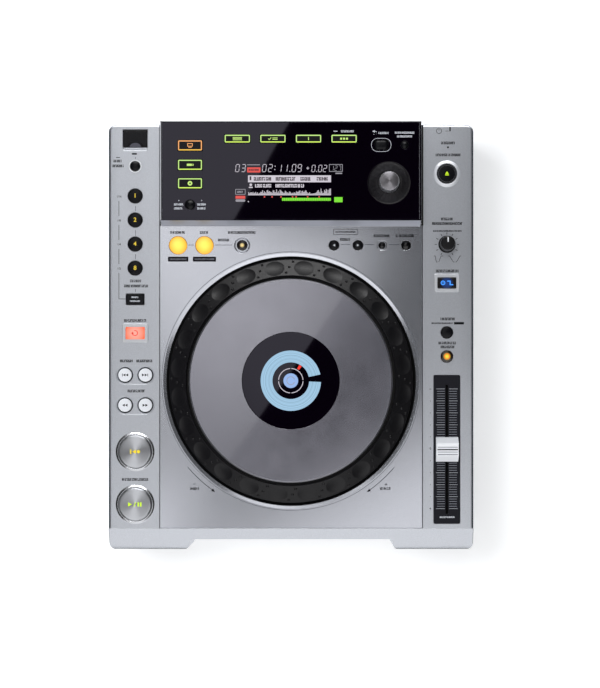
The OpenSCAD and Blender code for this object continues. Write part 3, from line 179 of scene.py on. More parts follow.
def swing(tree, value, depth):
    """1 plus or minus depth, from a value around a half."""
    return work(tree, "MULTIPLY_ADD", work(tree, "SUBTRACT", value, 0.5),
                work(tree, "MULTIPLY", depth, 2.0), 1.0)


def paint_mottle():
    """Slow drift in brightness over a moulded or painted face."""
    tree, given, out = effect("paint_mottle", {"Scale": ("F", 12.0), "Depth": ("F", 0.03)},
                              {"Shade": "F"})
    cloud = place(tree, "ShaderNodeTexNoise",
                  {"Vector": here(tree), "Scale": given["Scale"], "Detail": 3.0}).outputs[0]
    tree.links.new(swing(tree, cloud, given["Depth"]), out["Shade"])
    return tree


def paint_flake():
    """Metal flakes in silver paint, each a little lighter or darker."""
    tree, given, out = effect("paint_flake", {"Size": ("F", 0.0003), "Strength": ("F", 0.06)},
                              {"Shade": "F"})
    cells = place(tree, "ShaderNodeTexVoronoi",
                  {"Vector": here(tree), "Scale": work(tree, "DIVIDE", 1.0, given["Size"])})
    red = place(tree, "ShaderNodeSeparateColor", {"Color": cells.outputs["Color"]}).outputs[0]
    tree.links.new(swing(tree, red, given["Strength"]), out["Shade"])
    return tree


def moulded_grain():
    """Fine grain left by the mould or the paint, as a height."""
    tree, given, out = effect("moulded_grain", {"Size": ("F", 0.0004)}, {"Height": "F"})
    grain = place(tree, "ShaderNodeTexNoise",
                  {"Vector": here(tree), "Scale": work(tree, "DIVIDE", 1.0, given["Size"]),
                   "Detail": 2.0, "Roughness": 0.6}).outputs[0]
    tree.links.new(grain, out["Height"])
    return tree


def edge_wear():
    """Where fingers and cases have rubbed the edges, from 0 to 1."""
    tree, given, out = effect("edge_wear", {"Radius": ("F", 0.0005), "Breakup": ("F", 900.0)},
                              {"Mask": "F"})
    rounded = place(tree, "ShaderNodeBevel", {"Radius": given["Radius"]}, samples=4).outputs[0]
    true = place(tree, "ShaderNodeNewGeometry").outputs["Normal"]
    alike = vector_work(tree, "DOT_PRODUCT", rounded, true).outputs["Value"]
    edge = place(tree, "ShaderNodeMapRange",
                 {0: alike, 1: 0.995, 2: 0.9, 3: 0.0, 4: 1.0}).outputs[0]
    chips = place(tree, "ShaderNodeTexNoise",
                  {"Vector": here(tree), "Scale": given["Breakup"], "Detail": 2.0}).outputs[0]
    broken = place(tree, "ShaderNodeMapRange",
                   {0: chips, 1: 0.42, 2: 0.62, 3: 0.0, 4: 1.0}).outputs[0]
    tree.links.new(work(tree, "MULTIPLY", edge, broken), out["Mask"])
    return tree


def handling_smudge():
    """Faint film from handling, which dulls the gloss in patches."""
    tree, given, out = effect("handling_smudge", {"Scale": ("F", 40.0), "Amount": ("F", 0.05)},
                              {"Haze": "F"})
    film = place(tree, "ShaderNodeTexNoise",
                 {"Vector": here(tree), "Scale": given["Scale"], "Detail": 4.0,
                  "Roughness": 0.65}).outputs[0]
    patch = place(tree, "ShaderNodeMapRange", {0: film, 1: 0.35, 2: 0.75}).outputs[0]
    tree.links.new(work(tree, "MULTIPLY", patch, given["Amount"]), out["Haze"])
    return tree


def turned_lines():
    """Fine rings that a lathe leaves round a centre."""
    tree, given, out = effect("turned_lines",
                              {"Centre": ("V", (0, 0, 0)), "Pitch": ("F", 0.0005),
                               "Depth": ("F", 0.05)}, {"Shade": "F"})
    reach = reach_from(tree, given["Centre"])
    line = place(tree, "ShaderNodeTexNoise",
                 {"W": work(tree, "DIVIDE", reach, given["Pitch"]), "Scale": 1.0,
                  "Detail": 2.0}, noise_dimensions="1D").outputs[0]
    tree.links.new(swing(tree, line, given["Depth"]), out["Shade"])
    return tree


def lamp_glow():
    """Light from a lamp under a key: a bright core that fades to its rim."""
    tree, given, out = effect("lamp_glow",
                              {"Centre": ("V", (0, 0, 0)), "Radius": ("F", 0.005),
                               "Core": ("C", (1, 1, 1, 1)), "Rim": ("C", (1, 1, 1, 1))},
                              {"Colour": "C"})
    reach = reach_from(tree, given["Centre"])
    far = work(tree, "POWER", work(tree, "DIVIDE", reach, given["Radius"]), 2.0)
    mixed = place(tree, "ShaderNodeMix", {"Factor": far, 6: given["Core"], 7: given["Rim"]},
                  data_type="RGBA").outputs[2]
    tree.links.new(mixed, out["Colour"])
    return tree


EFFECTS = {build.__name__: build() for build in (
    paint_mottle, paint_flake, moulded_grain, edge_wear, handling_smudge, turned_lines,
    lamp_glow)}


def use(tree, name, **values):
    """A shared effect placed in a material with its own values."""
    made = tree.nodes.new("ShaderNodeGroup")
    made.node_tree = EFFECTS[name]
    made.label = name
    for key, value in values.items():
        made.inputs[key].default_value = value
    return made.outputs


def finish(name, colour, roughness=0.4, metallic=0.0, coat=0.0, coat_roughness=0.05,
           specular=0.5, gloss_tint=None, mottle=(12, 0.03), smudge=(40, 0.05), flake=None,
           grain=None, wear=None, lines=None, glow=None, core=None, turned_on=None):
    """A procedural finish.

    mottle (scale, depth), smudge (scale, amount), flake (size, strength), grain (size, height),
    wear (radius, colour), lines (centre, pitch, depth), glow (colour, strength) and core
    (centre, radius, core colour) are its effects. turned_on (centre, amount) is for metal cut
    on a lathe, and gloss_tint colours the mirror image in a dark gloss.
    """
    made = bpy.data.materials.new(name)
    made.use_nodes = True
    tree = made.node_tree
    shader = tree.nodes["Principled BSDF"]
    sockets = shader.inputs
    shade = use(tree, "paint_mottle", Scale=mottle[0], Depth=mottle[1])["Shade"]
    if flake:
        spark = use(tree, "paint_flake", Size=flake[0], Strength=flake[1])["Shade"]
        shade = work(tree, "MULTIPLY", shade, spark)
    if lines:
        rings = use(tree, "turned_lines", Centre=metres(lines[0]), Pitch=lines[1],
                    Depth=lines[2])
        shade = work(tree, "MULTIPLY", shade, rings["Shade"])
    paint = place(tree, "ShaderNodeVectorMath", {0: tone(*colour), "Scale": shade},
                  operation="SCALE").outputs[0]
    if wear:
        mask = use(tree, "edge_wear", Radius=wear[0])["Mask"]
        paint = place(tree, "ShaderNodeMix", {"Factor": mask, 6: paint, 7: tone(*wear[1]) + [1]},
                      data_type="RGBA").outputs[2]
    tree.links.new(paint, sockets["Base Color"])
    haze = use(tree, "handling_smudge", Scale=smudge[0], Amount=smudge[1])["Haze"]
    tree.links.new(work(tree, "ADD", haze, roughness), sockets["Roughness"])
    if grain:
        height = use(tree, "moulded_grain", Size=grain[0])["Height"]
        normal = place(tree, "ShaderNodeBump",
                       {"Height": height, "Distance": grain[1], "Strength": 1.0}).outputs[0]
        tree.links.new(normal, sockets["Normal"])
    sockets["Metallic"].default_value = metallic
    sockets["Specular IOR Level"].default_value = specular
    if gloss_tint:
        sockets["Specular Tint"].default_value = (*gloss_tint, 1)
    sockets["Coat Weight"].default_value = coat
    sockets["Coat Roughness"].default_value = coat_roughness
    if turned_on:
        sockets["Anisotropic"].default_value = turned_on[1]
        tangent = place(tree, "ShaderNodeVectorTransform",
                        {0: outward(tree, metres(turned_on[0]))}, vector_type="VECTOR",
                        convert_from="OBJECT", convert_to="WORLD")
        tree.links.new(tangent.outputs[0], sockets["Tangent"])
    if glow:
        light, strength = glow
        sockets["Emission Strength"].default_value = strength
        if core:
            spread = use(tree, "lamp_glow", Centre=metres(core[0]), Radius=core[1] * MM,
                         Core=tone(*core[2]) + [1], Rim=tone(*light) + [1])
            tree.links.new(spread["Colour"], sockets["Emission Color"])
        else:
            tinted = place(tree, "ShaderNodeVectorMath", {0: tone(*light), "Scale": shade},
                           operation="SCALE").outputs[0]
            tree.links.new(tinted, sockets["Emission Color"])
    return made


# ------------------------------------------------------------ finishes of this player

SILVER = dict(metallic=0.86, flake=(0.00035, 0.07), grain=(0.0004, 0.0000005), mottle=(6, 0.02),
              smudge=(18, 0.02), wear=(0.0004, (205, 207, 210)))

LOOKS = {
    "silver_case": dict(colour=(204, 207, 214), roughness=0.32, **SILVER),
    "silver_deck": dict(colour=(200, 202, 210), roughness=0.15, **SILVER),
    "black_window": dict(colour=(6, 2, 10), roughness=0.02, specular=0.46,
                         gloss_tint=(0.84, 0.82, 1.0), mottle=(20, 0.1), smudge=(45, 0.008)),
    "black_panel": dict(colour=(26, 26, 32), roughness=0.42, specular=0.15,
                        grain=(0.0003, 0.000006), wear=(0.0003, (70, 70, 74))),
    "steel_sheet": dict(colour=(150, 152, 155), metallic=0.9, roughness=0.42,
                        grain=(0.0006, 0.000005), wear=(0.0004, (190, 190, 192))),
    "steel_shaft": dict(colour=(178, 180, 184), metallic=1.0, roughness=0.22, smudge=(60, 0.08)),
    "rubber": dict(colour=(28, 28, 29), roughness=0.75, grain=(0.0005, 0.00002),
                   mottle=(30, 0.12)),
    "jack_plastic": dict(colour=(24, 24, 26), roughness=0.5, grain=(0.0004, 0.00001),
                         wear=(0.0003, (60, 60, 62))),
    "black_key": dict(colour=(12, 12, 16), roughness=0.26, specular=0.2, smudge=(90, 0.06),
                      mottle=(30, 0.1), wear=(0.0003, (44, 44, 48))),
    "white_key": dict(colour=(236, 237, 240), roughness=0.3, smudge=(70, 0.06),
                      wear=(0.0003, (215, 215, 218))),
    "metal_key": dict(colour=(190, 192, 196), metallic=1.0, roughness=0.26, flake=(0.0003, 0.05)),
    "yellow_lit_key": dict(colour=(250, 250, 200), roughness=0.3, glow=((255, 255, 110), 1.0)),
    "red_lit_key": dict(colour=(150, 60, 50), roughness=0.3, glow=((255, 104, 52), 0.9),
                        core=(spot("direction_button"), 8.5, (255, 176, 160))),
    "black_knob": dict(colour=(18, 18, 20), roughness=0.34, specular=0.25,
                       grain=(0.0003, 0.000008), wear=(0.0003, (62, 62, 66))),
    "white_cap": dict(colour=(250, 250, 252), roughness=0.34, smudge=(70, 0.06),
                      grain=(0.0004, 0.000004)),
    "jog_black": dict(colour=(15, 14, 17), roughness=0.4, specular=0.35, grain=(0.0004, 0.000003),
                      mottle=(14, 0.05), smudge=(60, 0.04), wear=(0.0003, (44, 44, 48))),
    "jog_metal": dict(colour=(150, 149, 159), metallic=0.8, roughness=0.15, coat=1.0,
                      coat_roughness=0.03, lines=(JOG, 0.0004, 0.03), mottle=(5, 0.02)),
    "die_cast": dict(colour=(120, 122, 126), metallic=0.9, roughness=0.5, grain=(0.0008, 0.00003),
                     mottle=(40, 0.12)),
    "circuit_board": dict(colour=(28, 92, 58), roughness=0.35, coat=0.3, mottle=(300, 0.35),
                          grain=(0.001, 0.00001)),
    "screen_glass": dict(colour=(16, 18, 20), roughness=0.08, mottle=(25, 0.1)),
}
FINISHES = {name: finish(name, **look) for name, look in LOOKS.items()}

for node, part in frame["nodes"].items():
    part.material_slots[0].material = FINISHES[slot_of[node]]


# ------------------------------------------------------------ meshes

def added(name, mesh, look, body):
    """A finished piece that rides on a body."""
    made = bpy.data.objects.new(name, mesh)
    mesh.materials.clear()
    mesh.materials.append(look)
    scene.collection.objects.link(made)
    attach(made, body)
    return made


# Bends under the first angle are smooth, bends up to the second stay sharp, and a bend over
# the second is rounded off.
SMOOTH_BEND, SHARP_BEND = math.radians(13), math.radians(32)


def softened(node, width):
    """Stands for a node in its own shape, with its hard edges rounded as moulding rounds them."""
    part = frame["nodes"][node]
    mesh = part.data.copy()
    for extra in ("custom_normal", "sharp_face", "sharp_edge"):
        if extra in mesh.attributes:
            mesh.attributes.remove(mesh.attributes[extra])
    work_mesh = bmesh.new()
    work_mesh.from_mesh(mesh)
    bmesh.ops.remove_doubles(work_mesh, verts=work_mesh.verts, dist=2e-6)
    bmesh.ops.dissolve_limit(work_mesh, angle_limit=math.radians(0.4), verts=work_mesh.verts,
                             edges=work_mesh.edges)
    for face in work_mesh.faces:
        face.smooth = True
    for joint in work_mesh.edges:
        if len(joint.link_faces) == 2:
            joint.smooth = not SMOOTH_BEND < joint.calc_face_angle() < SHARP_BEND
    work_mesh.to_mesh(mesh)
    work_mesh.free()
    slot = slot_of[node]
    made = added(node + "_shell", mesh, FINISHES[slot], part["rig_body"])
    edge = made.modifiers.new("rounding", "BEVEL")
    edge.width = width * MM
    edge.segments = 2
    edge.limit_method = "ANGLE"
    edge.angle_limit = SHARP_BEND
    edge.harden_normals = True
    edge.use_clamp_overlap = False
    edge.miter_outer = "MITER_ARC"
    bpy.context.view_layer.update()
    baked = bpy.data.meshes.new_from_object(
        made.evaluated_get(bpy.context.evaluated_depsgraph_get()))
    made.modifiers.clear()
    made.data = baked
    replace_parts(made, node)
    return made


# Width of the rounding of each softened node, in millimetres.
SOFTENED = {
    "upper_case": 0.25, "centre_panel": 0.25, "front_bezel": 0.35, "display_window": 0.2,
    "fader_plate": 0.2, "usb_lid": 0.3, "jog_top_plate": 0.15,
    "jog_display": 0.1, "base_chassis": 0.3, "rubber_feet": 0.6, "rear_jacks": 0.15,
    "power_button": 0.4, "tempo_fader_cap": 0.25, "pc_button": 0.3, "usb_button": 0.3,
    "disc_button": 0.3, "browse_button": 0.3, "tag_list_button": 0.3, "info_button": 0.3,
    "menu_button": 0.3, "beat_select_button": 0.4, "direction_button": 0.4,
    "jog_mode_button": 0.4,
}
SHELLS = {node: softened(node, width) for node, width in SOFTENED.items()}


# ------------------------------------------------------------ outlines and solids

def around(at, radius, steps=64, start=0.0, sweep=360.0):
    """Points round a circle, or along an arc with both its ends."""
    count = steps if sweep == 360 else steps + 1
    turns = [math.radians(start + sweep * i / steps) for i in range(count)]
    return [(at[0] + radius * math.cos(a), at[1] + radius * math.sin(a)) for a in turns]


def plaque(at, size, corner):
    """Points round a rectangle with rounded corners."""
    w, d = size[0] / 2 - corner, size[1] / 2 - corner
    return [point for turn, (sx, sy) in enumerate(((1, 1), (-1, 1), (-1, -1), (1, -1)))
            for point in around((at[0] + sx * w, at[1] + sy * d), corner, 5, turn * 90, 90)]


def sealed(shape, name, sharp=28):
    """Mesh with its normals outward, smooth but for edges sharper than the angle."""
    bmesh.ops.recalc_face_normals(shape, faces=shape.faces)
    for face in shape.faces:
        face.smooth = True
    for edge in shape.edges:
        if len(edge.link_faces) == 2:
            edge.smooth = edge.calc_face_angle() < math.radians(sharp)
    mesh = bpy.data.meshes.new(name)
    shape.to_mesh(mesh)
    shape.free()
    return mesh


def stack(shape, levels, ring=False):
    """Skin through loops of points, each with its height, capped or joined into a ring."""
    rows = [[shape.verts.new((x * MM, y * MM, z * MM)) for x, y in loop] for loop, z in levels]
    for low, high in zip(rows, rows[1:] + rows[:1] if ring else rows[1:]):
        for i, corner in enumerate(low):
            j = (i + 1) % len(low)
            shape.faces.new((corner, low[j], high[j], high[i]))
    if not ring:
        shape.faces.new(rows[0][::-1])
        shape.faces.new(rows[-1])


def eased(profile, size):
    """Profile whose corners are rounded off."""
    made = [profile[0]]
    for before, corner, after in zip(profile, profile[1:], profile[2:]):
        cut = min(size, math.dist(before, corner) * 0.45, math.dist(corner, after) * 0.45)
        into = [c + (b - c) * cut / math.dist(before, corner) for c, b in zip(corner, before)]
        out = [c + (a - c) * cut / math.dist(corner, after) for c, a in zip(corner, after)]
        mid = [(i + o) / 4 + c / 2 for i, o, c in zip(into, out, corner)]
        made += [tuple(into), tuple(mid), tuple(out)]
    return made + [profile[-1]]


def turned(name, profile, at, ring=False, steps=72):
    """Mesh turned from a profile of radius and height."""
    shape = bmesh.new()
    stack(shape, [(around(at, r, steps), z) for r, z in profile], ring)
    return sealed(shape, name)


def fixed_ring(name, profile, at, look, steps=72):
    """A turned ring that stays with the case."""
    added(name, turned(name, profile, at, True, steps), look, "root")


class Print:
    """Marks in one colour on one flat face, made as thin closed plates.

    They are drawn from the place at. A standing print is drawn in x and z on a face that looks
    to the rear.
    """

    def __init__(self, level, thick=0.04, at=(0, 0), standing=False):
        self.level, self.thick, self.faces = level, thick, []
        self.at, self.standing = at, standing

    def fill(self, points):
        """Face with its corners at the points."""
        self.faces.append([(x + self.at[0], y + self.at[1]) for x, y in points])
        return self

    def bar(self, x0, x1, y0, y1):
        """Upright rectangle."""
        return self.fill([(x0, y0), (x1, y0), (x1, y1), (x0, y1)])

    def rows(self, first, second, closed=False):
        """Band between two rows of points."""
        for i in range(len(first) - (0 if closed else 1)):
            j = (i + 1) % len(first)
            self.fill([first[i], first[j], second[j], second[i]])
        return self

    def ring(self, at, inner, outer, start=0.0, sweep=360.0, steps=48):
        """Band round a circle or along an arc."""
        return self.rows(around(at, inner, steps, start, sweep),
                         around(at, outer, steps, start, sweep), sweep == 360)

    def disc(self, at, radius, steps=24):
        """Filled circle."""
        return self.fill(around(at, radius, steps))

    def outline(self, at, size, corner, width):
        """Band inside the edge of a rectangle with rounded corners."""
        return self.rows(plaque(at, size, corner),
                         plaque(at, [v - 2 * width for v in size], max(corner - width, 0.05)),
                         True)

    def path(self, points, width):
        """Line of one width through points, mitred at its bends."""
        sides = []
        for i, (x, y) in enumerate(points):
            ahead = points[min(i + 1, len(points) - 1)]
            back = points[max(i - 1, 0)]
            turns = []
            for a, b in ((back, (x, y)), ((x, y), ahead)):
                if a != b:
                    turns.append(math.atan2(b[1] - a[1], b[0] - a[0]))
            bend = (turns[-1] - turns[0]) / 2
            along = turns[0] + bend + math.pi / 2
            reach = width / 2 / max(abs(math.cos(bend)), 0.3)
            sides.append((reach * math.cos(along), reach * math.sin(along)))
        return self.rows([(x + a, y + b) for (x, y), (a, b) in zip(points, sides)],
                         [(x - a, y - b) for (x, y), (a, b) in zip(points, sides)])

    def word(self, x0, x1, y, high=2.2):
        """A label's place, filled with plain strokes that spell nothing."""
        x, foot, line = x0, y - high / 2, high * 0.29
        while x < x1 - line:
            cut = draw.choice((0.0, 0.0, 0.0, 0.45, 0.55))
            parts = ((0.0, cut), (cut + 0.14, 1.0)) if cut else ((0.0, 1.0),)
            for low, tall in parts:
                self.bar(x, x + line, foot + high * low, foot + high * tall)
            step = high * draw.choice((0.4, 0.4, 0.56))
            if draw.random() < 0.6 and x + step < x1:
                level = foot + high * draw.choice((0.0, 0.4, 0.8))
                self.bar(x + line, x + step, level, level + high * 0.2)
            x += step
        return self

    def words(self, rows, high=2.2):
        """Labels, each given by its left end, right end and middle height."""
        for x0, x1, y in rows:
            self.word(x0, x1, y, high)
        return self

    def figure(self, text, at, high):
        """Plain figures, centred on a place."""
        curve = bpy.data.curves.new("figures", "FONT")
        curve.body, curve.size = text, high * 1.38
        curve.align_x, curve.align_y = "CENTER", "CENTER"
        curve.offset = high * 0.02
        curve.resolution_u = 3
        typed = bpy.data.objects.new("figures", curve)
        flat = bpy.data.meshes.new_from_object(typed)
        for face in flat.polygons:
            self.fill([(at[0] + flat.vertices[v].co.x, at[1] + flat.vertices[v].co.y)
                       for v in face.vertices])
        bpy.data.objects.remove(typed)
        return self

    def triangle(self, at, size, way):
        """Arrow head with its middle at a place, pointing left (-1) or right (1)."""
        x, y = at
        return self.fill([(x + way * size / 2, y), (x - way * size / 2, y + size * 0.55),
                          (x - way * size / 2, y - size * 0.55)])

    def seated(self, x, y, level):
        """A point of the print in metres."""
        return [v * MM for v in ((x, level, y) if self.standing else (x, y, level))]

    def made(self, name, look, slot, body="root"):
        """The print as a finished piece, which starts a little inside its face."""
        shape = bmesh.new()
        for points in self.faces:
            verts = [shape.verts.new(self.seated(x, y, self.level - 0.01)) for x, y in points]
            try:
                shape.faces.new(verts)
            except ValueError:
                continue
        bmesh.ops.remove_doubles(shape, verts=shape.verts, dist=1e-6)
        grown = bmesh.ops.extrude_face_region(shape, geom=shape.faces[:], use_keep_orig=True)
        raised = [v for v in grown["geom"] if isinstance(v, bmesh.types.BMVert)]
        bmesh.ops.translate(shape, verts=raised, vec=self.seated(0, 0, self.thick + 0.01))
        return added(name, sealed(shape, name), look, body)


def on_key(node, sink=0.0, thick=0.04):
    """A print on a key's or a knob's top, drawn from its middle, sunk in where the top curves."""
    return Print(top(node) - sink, thick, spot(node))


# ------------------------------------------------------------ looks of marks and lamps

def lit(name, colour, strength=1.0, base=(30, 30, 32)):
    """Lamp light through a mark or a lens."""
    return finish(name, base, roughness=0.3, smudge=(60, 0.05), mottle=(60, 0.05),
                  glow=(colour, strength))


def ink(name, colour):
    """Printed ink, a little uneven."""
    return finish(name, colour, roughness=0.55, mottle=(160, 0.12), specular=0.12)


LABEL_INK = ink("label_ink", (8, 8, 13))
FAINT_INK = ink("faint_ink", (62, 64, 74))
BADGE_INK = ink("badge_ink", (20, 18, 24))
# Pale ink for printed labels, also used for painted highlights at the USB lid and its lamp.
PALE_INK_AND_HIGHLIGHT = ink("pale_ink_and_painted_highlight", (206, 208, 214))
SCALE_INK = ink("scale_ink", (168, 170, 176))
ICON_INK = ink("icon_ink", (22, 22, 26))
GREEN_LINE = lit("green_lit_line", (198, 241, 132))
GREEN_FRONT = lit("green_lit_front", (222, 255, 96))
GREEN_SIGN = lit("green_lit_sign", (200, 240, 120))
ORANGE_LINE = lit("orange_lit_line", (255, 176, 104))
ORANGE_FRONT = lit("orange_lit_front", (255, 205, 70))
BEAT_FIGURE = lit("beat_figure", (238, 206, 46))
CUE_SIGN = lit("cue_sign", (255, 226, 30))
PLAY_SIGN = lit("play_sign", (214, 255, 30))
SCREEN_WHITE = lit("screen_white", (206, 200, 210))
SCREEN_GREY = lit("screen_grey", (150, 148, 156))
SCREEN_RED = lit("screen_red", (226, 74, 66))
SCREEN_GREEN = lit("screen_green", (120, 226, 34))
SCREEN_DARK = lit("screen_unlit", (44, 26, 38), base=(4, 3, 4))
POLISHED = finish("polished_ring", (214, 216, 221), metallic=1.0, roughness=0.24,
                  smudge=(80, 0.04), mottle=(20, 0.02))
SATIN = finish("satin_ring", (228, 229, 234), metallic=0.5, roughness=0.42, smudge=(80, 0.04),
               mottle=(20, 0.02))
# Black rough finish: the real dust strip under the fader slot, and painted shade in the gap round
# the jog ring.
DUST_STRIP_AND_GAP_SHADE = finish("dust_strip_and_gap_shade", (5, 5, 6), roughness=0.8, specular=0.1, mottle=(90, 0.2))
# Painted shade: a darker, bluish copy of the silver for the rolled edges, standing in for the
# dark surroundings they would mirror.
PAINTED_EDGE_SHADE = finish("rolled_edge_painted_shade", (66, 72, 82), metallic=0.9, roughness=0.3, mottle=(20, 0.05))
FRAME = finish("key_frame_silver", (214, 216, 221), metallic=0.75, roughness=0.42,
               smudge=(80, 0.04), mottle=(20, 0.02))
# Grey metal for the jog plate's outer bevel, also used as a painted highlight ring on the eject
# key.
GREY_TRIM_AND_HIGHLIGHT = finish("grey_trim_and_painted_highlight", (126, 126, 132), metallic=0.8, roughness=0.3, smudge=(80, 0.04))
GUNMETAL = finish("turned_gunmetal", (148, 146, 151), metallic=1.0, roughness=0.3,
                  lines=(spot("selector_knob"), 0.0003, 0.06),
                  turned_on=(spot("selector_knob"), 0.8))


# ------------------------------------------------------------ second finishes

def polish(shell, test, look=POLISHED):
    """Second finish on the faces of a shell whose middle passes the test, in millimetres."""
    shell.data.materials.append(look)
    for face in shell.data.polygons:
        x, y, z = (v / MM for v in face.center)
        if test(x, y, z):
            face.material_index = len(shell.data.materials) - 1


def near(node, x, y):
    """Distance of a place from a node's middle."""
    return math.dist(spot(node), (x, y))


def framed(node, x, y, reach):
    """Whether a place lies inside a node's outline, widened by a reach."""
    low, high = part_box(node)
    return (low.x / MM - reach < x < high.x / MM + reach
            and low.y / MM - reach < y < high.y / MM + reach)


# ------------------------------------------------------------ keys

BLACK, WHITE = FINISHES["black_key"], FINISHES["white_key"]
GLOSSY = finish("black_gloss_key", (10, 10, 12), roughness=0.1, smudge=(90, 0.05))
IN_BLOCK = ("time_mode_button", "tag_track_button")
# Depth of a key's cap in the display block and elsewhere, and the width and thickness of the
# collar under it.
BLOCK_CAP, CAP, COLLAR = 5.8, 3.8, 1.2


def lamp_key(node, colour, radius, core, base=(26, 22, 20)):
    """Look of a key with a lamp under its middle."""
    return finish(node + "_lit", base, roughness=0.18, coat=0.3, smudge=(90, 0.05),
                  glow=(colour, 1.0), core=(spot(node), radius, core))


def pushed(node, crown, look, chamfer=0.0, slim=0.0):
    """Round push button in the place of its node: crowned cap, black collar and stem."""
    low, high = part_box(node)
    collar = (high.x - low.x) / 2 / MM
    radius = collar - COLLAR - slim
    peak = high.z / MM
    under = peak - (BLOCK_CAP if node in IN_BLOCK else CAP)
    rim = radius - max(chamfer, 0.05)
    cap = [(rim * step / 6, peak - crown * (step / 6) ** 2) for step in (0.1, 1, 2, 3, 4, 5)]
    corner = [(rim, peak - crown), (radius, peak - crown - max(chamfer * 0.9, 0.1)),
              (radius, under)]
    profile = cap + eased([cap[-1]] + corner, 0.15 if chamfer else 0.5)[1:]
    profile += [(collar, under), (collar, under - COLLAR), (1.5, under - COLLAR),
                (1.5, low.z / MM)]
    made = added(node + "_cap", turned(node, profile, spot(node)), look,
                 frame["nodes"][node]["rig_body"])
    if look is not BLACK:
        polish(made, lambda x, y, z: z < under + 0.05, BLACK)
    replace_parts(made, node)


for node, crown in (("beat_button_1", 0.45), ("beat_button_2", 0.45), ("beat_button_4", 0.45),
                    ("beat_button_8", 0.45), ("usb_stop_button", 0.8),
                    ("call_back_button", 0.8), ("call_forward_button", 0.8),
                    ("tempo_range_button", 0.6), ("time_mode_button", 1.3),
                    ("tag_track_button", 1.4), ("eject_button", 0.3)):
    pushed(node, crown, BLACK)
for node, crown in (("delete_button", 0.9), ("memory_button", 1.1)):
    pushed(node, crown, GLOSSY)
for node in ("track_back_button", "track_forward_button", "search_back_button",
             "search_forward_button"):
    pushed(node, 0.3, WHITE, slim=0.5)
for node in ("cue_button", "play_button"):
    pushed(node, 0.1, finish(node + "_brushed", (188, 190, 195), metallic=1.0, roughness=0.3,
                             lines=(spot(node), 0.00025, 0.06), turned_on=(spot(node), 0.85)),
           chamfer=0.9)
for node in ("loop_in_button", "loop_out_button"):
    pushed(node, 0.5, lamp_key(node, (250, 150, 36), 8.4, (255, 246, 96), (90, 70, 30)))
pushed("reloop_button", 0.6, lamp_key("reloop_button", (10, 6, 8), 2.0, (255, 226, 150)))
node = "master_tempo_button"
pushed(node, 0.6, lamp_key(node, (16, 4, 2), 3.3, (255, 226, 60)))
lamp_edge = on_key(node, 0.05, 0.1).ring((0, 0), 1.9, 2.5)
lamp_edge.made("master_tempo_lamp_edge", lit("tempo_lamp_edge", (255, 96, 20)), "black_key", node)


def pillow(node, corner, crown):
    """Cushion-topped key in the place of its node: crowned cap, collar and stem."""
    low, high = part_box(node)
    at, peak, foot = spot(node), high.z / MM, low.z / MM
    wide, deep = ((high[axis] - low[axis]) / MM - 2 * COLLAR for axis in (0, 1))
    under = peak - BLOCK_CAP
    collar = (wide + 2 * COLLAR, deep + 2 * COLLAR, corner + COLLAR)
    rows = [(3, 3, 1.2, foot), (3, 3, 1.2, under - COLLAR), (*collar, under - COLLAR),
            (*collar, under), (wide, deep, corner, under)]
    bulge = 2.6
    for step in range(9):
        turn = math.radians(step * 10)
        inset = bulge * (1 - math.cos(turn))
        rows.append((wide - 2 * inset, deep - 2 * inset, max(corner - inset, 0.3),
                     peak - crown * (1 - math.sin(turn))))
    shape = bmesh.new()
    stack(shape, [(plaque(at, (w, d), c), z) for w, d, c, z in rows])
    made = added(node + "_cap", sealed(shape, node), BLACK, frame["nodes"][node]["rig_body"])
    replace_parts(made, node)


pillow("back_button", 3.2, 1.5)
SHELLS["jog_mode_button"].data.materials[0] = lamp_key("jog_mode_button", (5, 6, 10), 5.5,
                                                       (26, 62, 128))


# ------------------------------------------------------------ shells with polished edges

# Where the rounded edges of the case begin at its sides, its front and its rear.
SIDE_EDGE, FRONT_EDGE, REAR_EDGE = 151.2, -176.6, 176.9
RAISED = COLUMN + 0.03
CASE, BEZEL, PANEL = (SHELLS[node] for node in ("upper_case", "front_bezel", "centre_panel"))

polish(CASE, lambda x, y, z: z > RAISED
       and min(near("cue_button", x, y), near("play_button", x, y)) < 16.25)
polish(CASE, lambda x, y, z: z > RAISED
       and (near("eject_button", x, y) < 10.25 or framed("direction_button", x, y, 2.0)
            or framed("jog_mode_button", x, y, 2.0)), FRAME)
# Painted shade on the rolled side edges of the case, and on the side and front edges of the
# bezel.
polish(CASE, lambda x, y, z: abs(x) > SIDE_EDGE and z > COLUMN - 2.5, PAINTED_EDGE_SHADE)
polish(CASE, lambda x, y, z: z > COLUMN + 0.8 and near("eject_button", x, y) < 8.5, BLACK)
polish(BEZEL, lambda x, y, z: abs(x) > SIDE_EDGE and z > COLUMN - 6 or y < FRONT_EDGE, PAINTED_EDGE_SHADE)
polish(SHELLS["jog_top_plate"], lambda x, y, z: math.dist(JOG, (x, y)) > 83.3, GREY_TRIM_AND_HIGHLIGHT)
polish(PANEL, lambda x, y, z: z > RIM - 0.02 or y > REAR_EDGE and z > COLUMN,
       FINISHES["black_window"])
# Painted shade: the display block's front slope gets a darker, rougher copy of the deck's silver.
polish(PANEL, lambda x, y, z: 88 < y < 98 and DECK + 0.6 < z < RIM - 0.05,
       finish("block_front_painted_shade_silver", (172, 174, 181), metallic=0.8, roughness=0.34,
              smudge=(60, 0.03), mottle=(8, 0.03)))
front_edge = Print(RIM, 0.03).bar(-107.9, 107.9, 95.8, 96.75)
front_edge.made("display_front_edge", FINISHES["black_window"], "black_window")


# ------------------------------------------------------------ left column

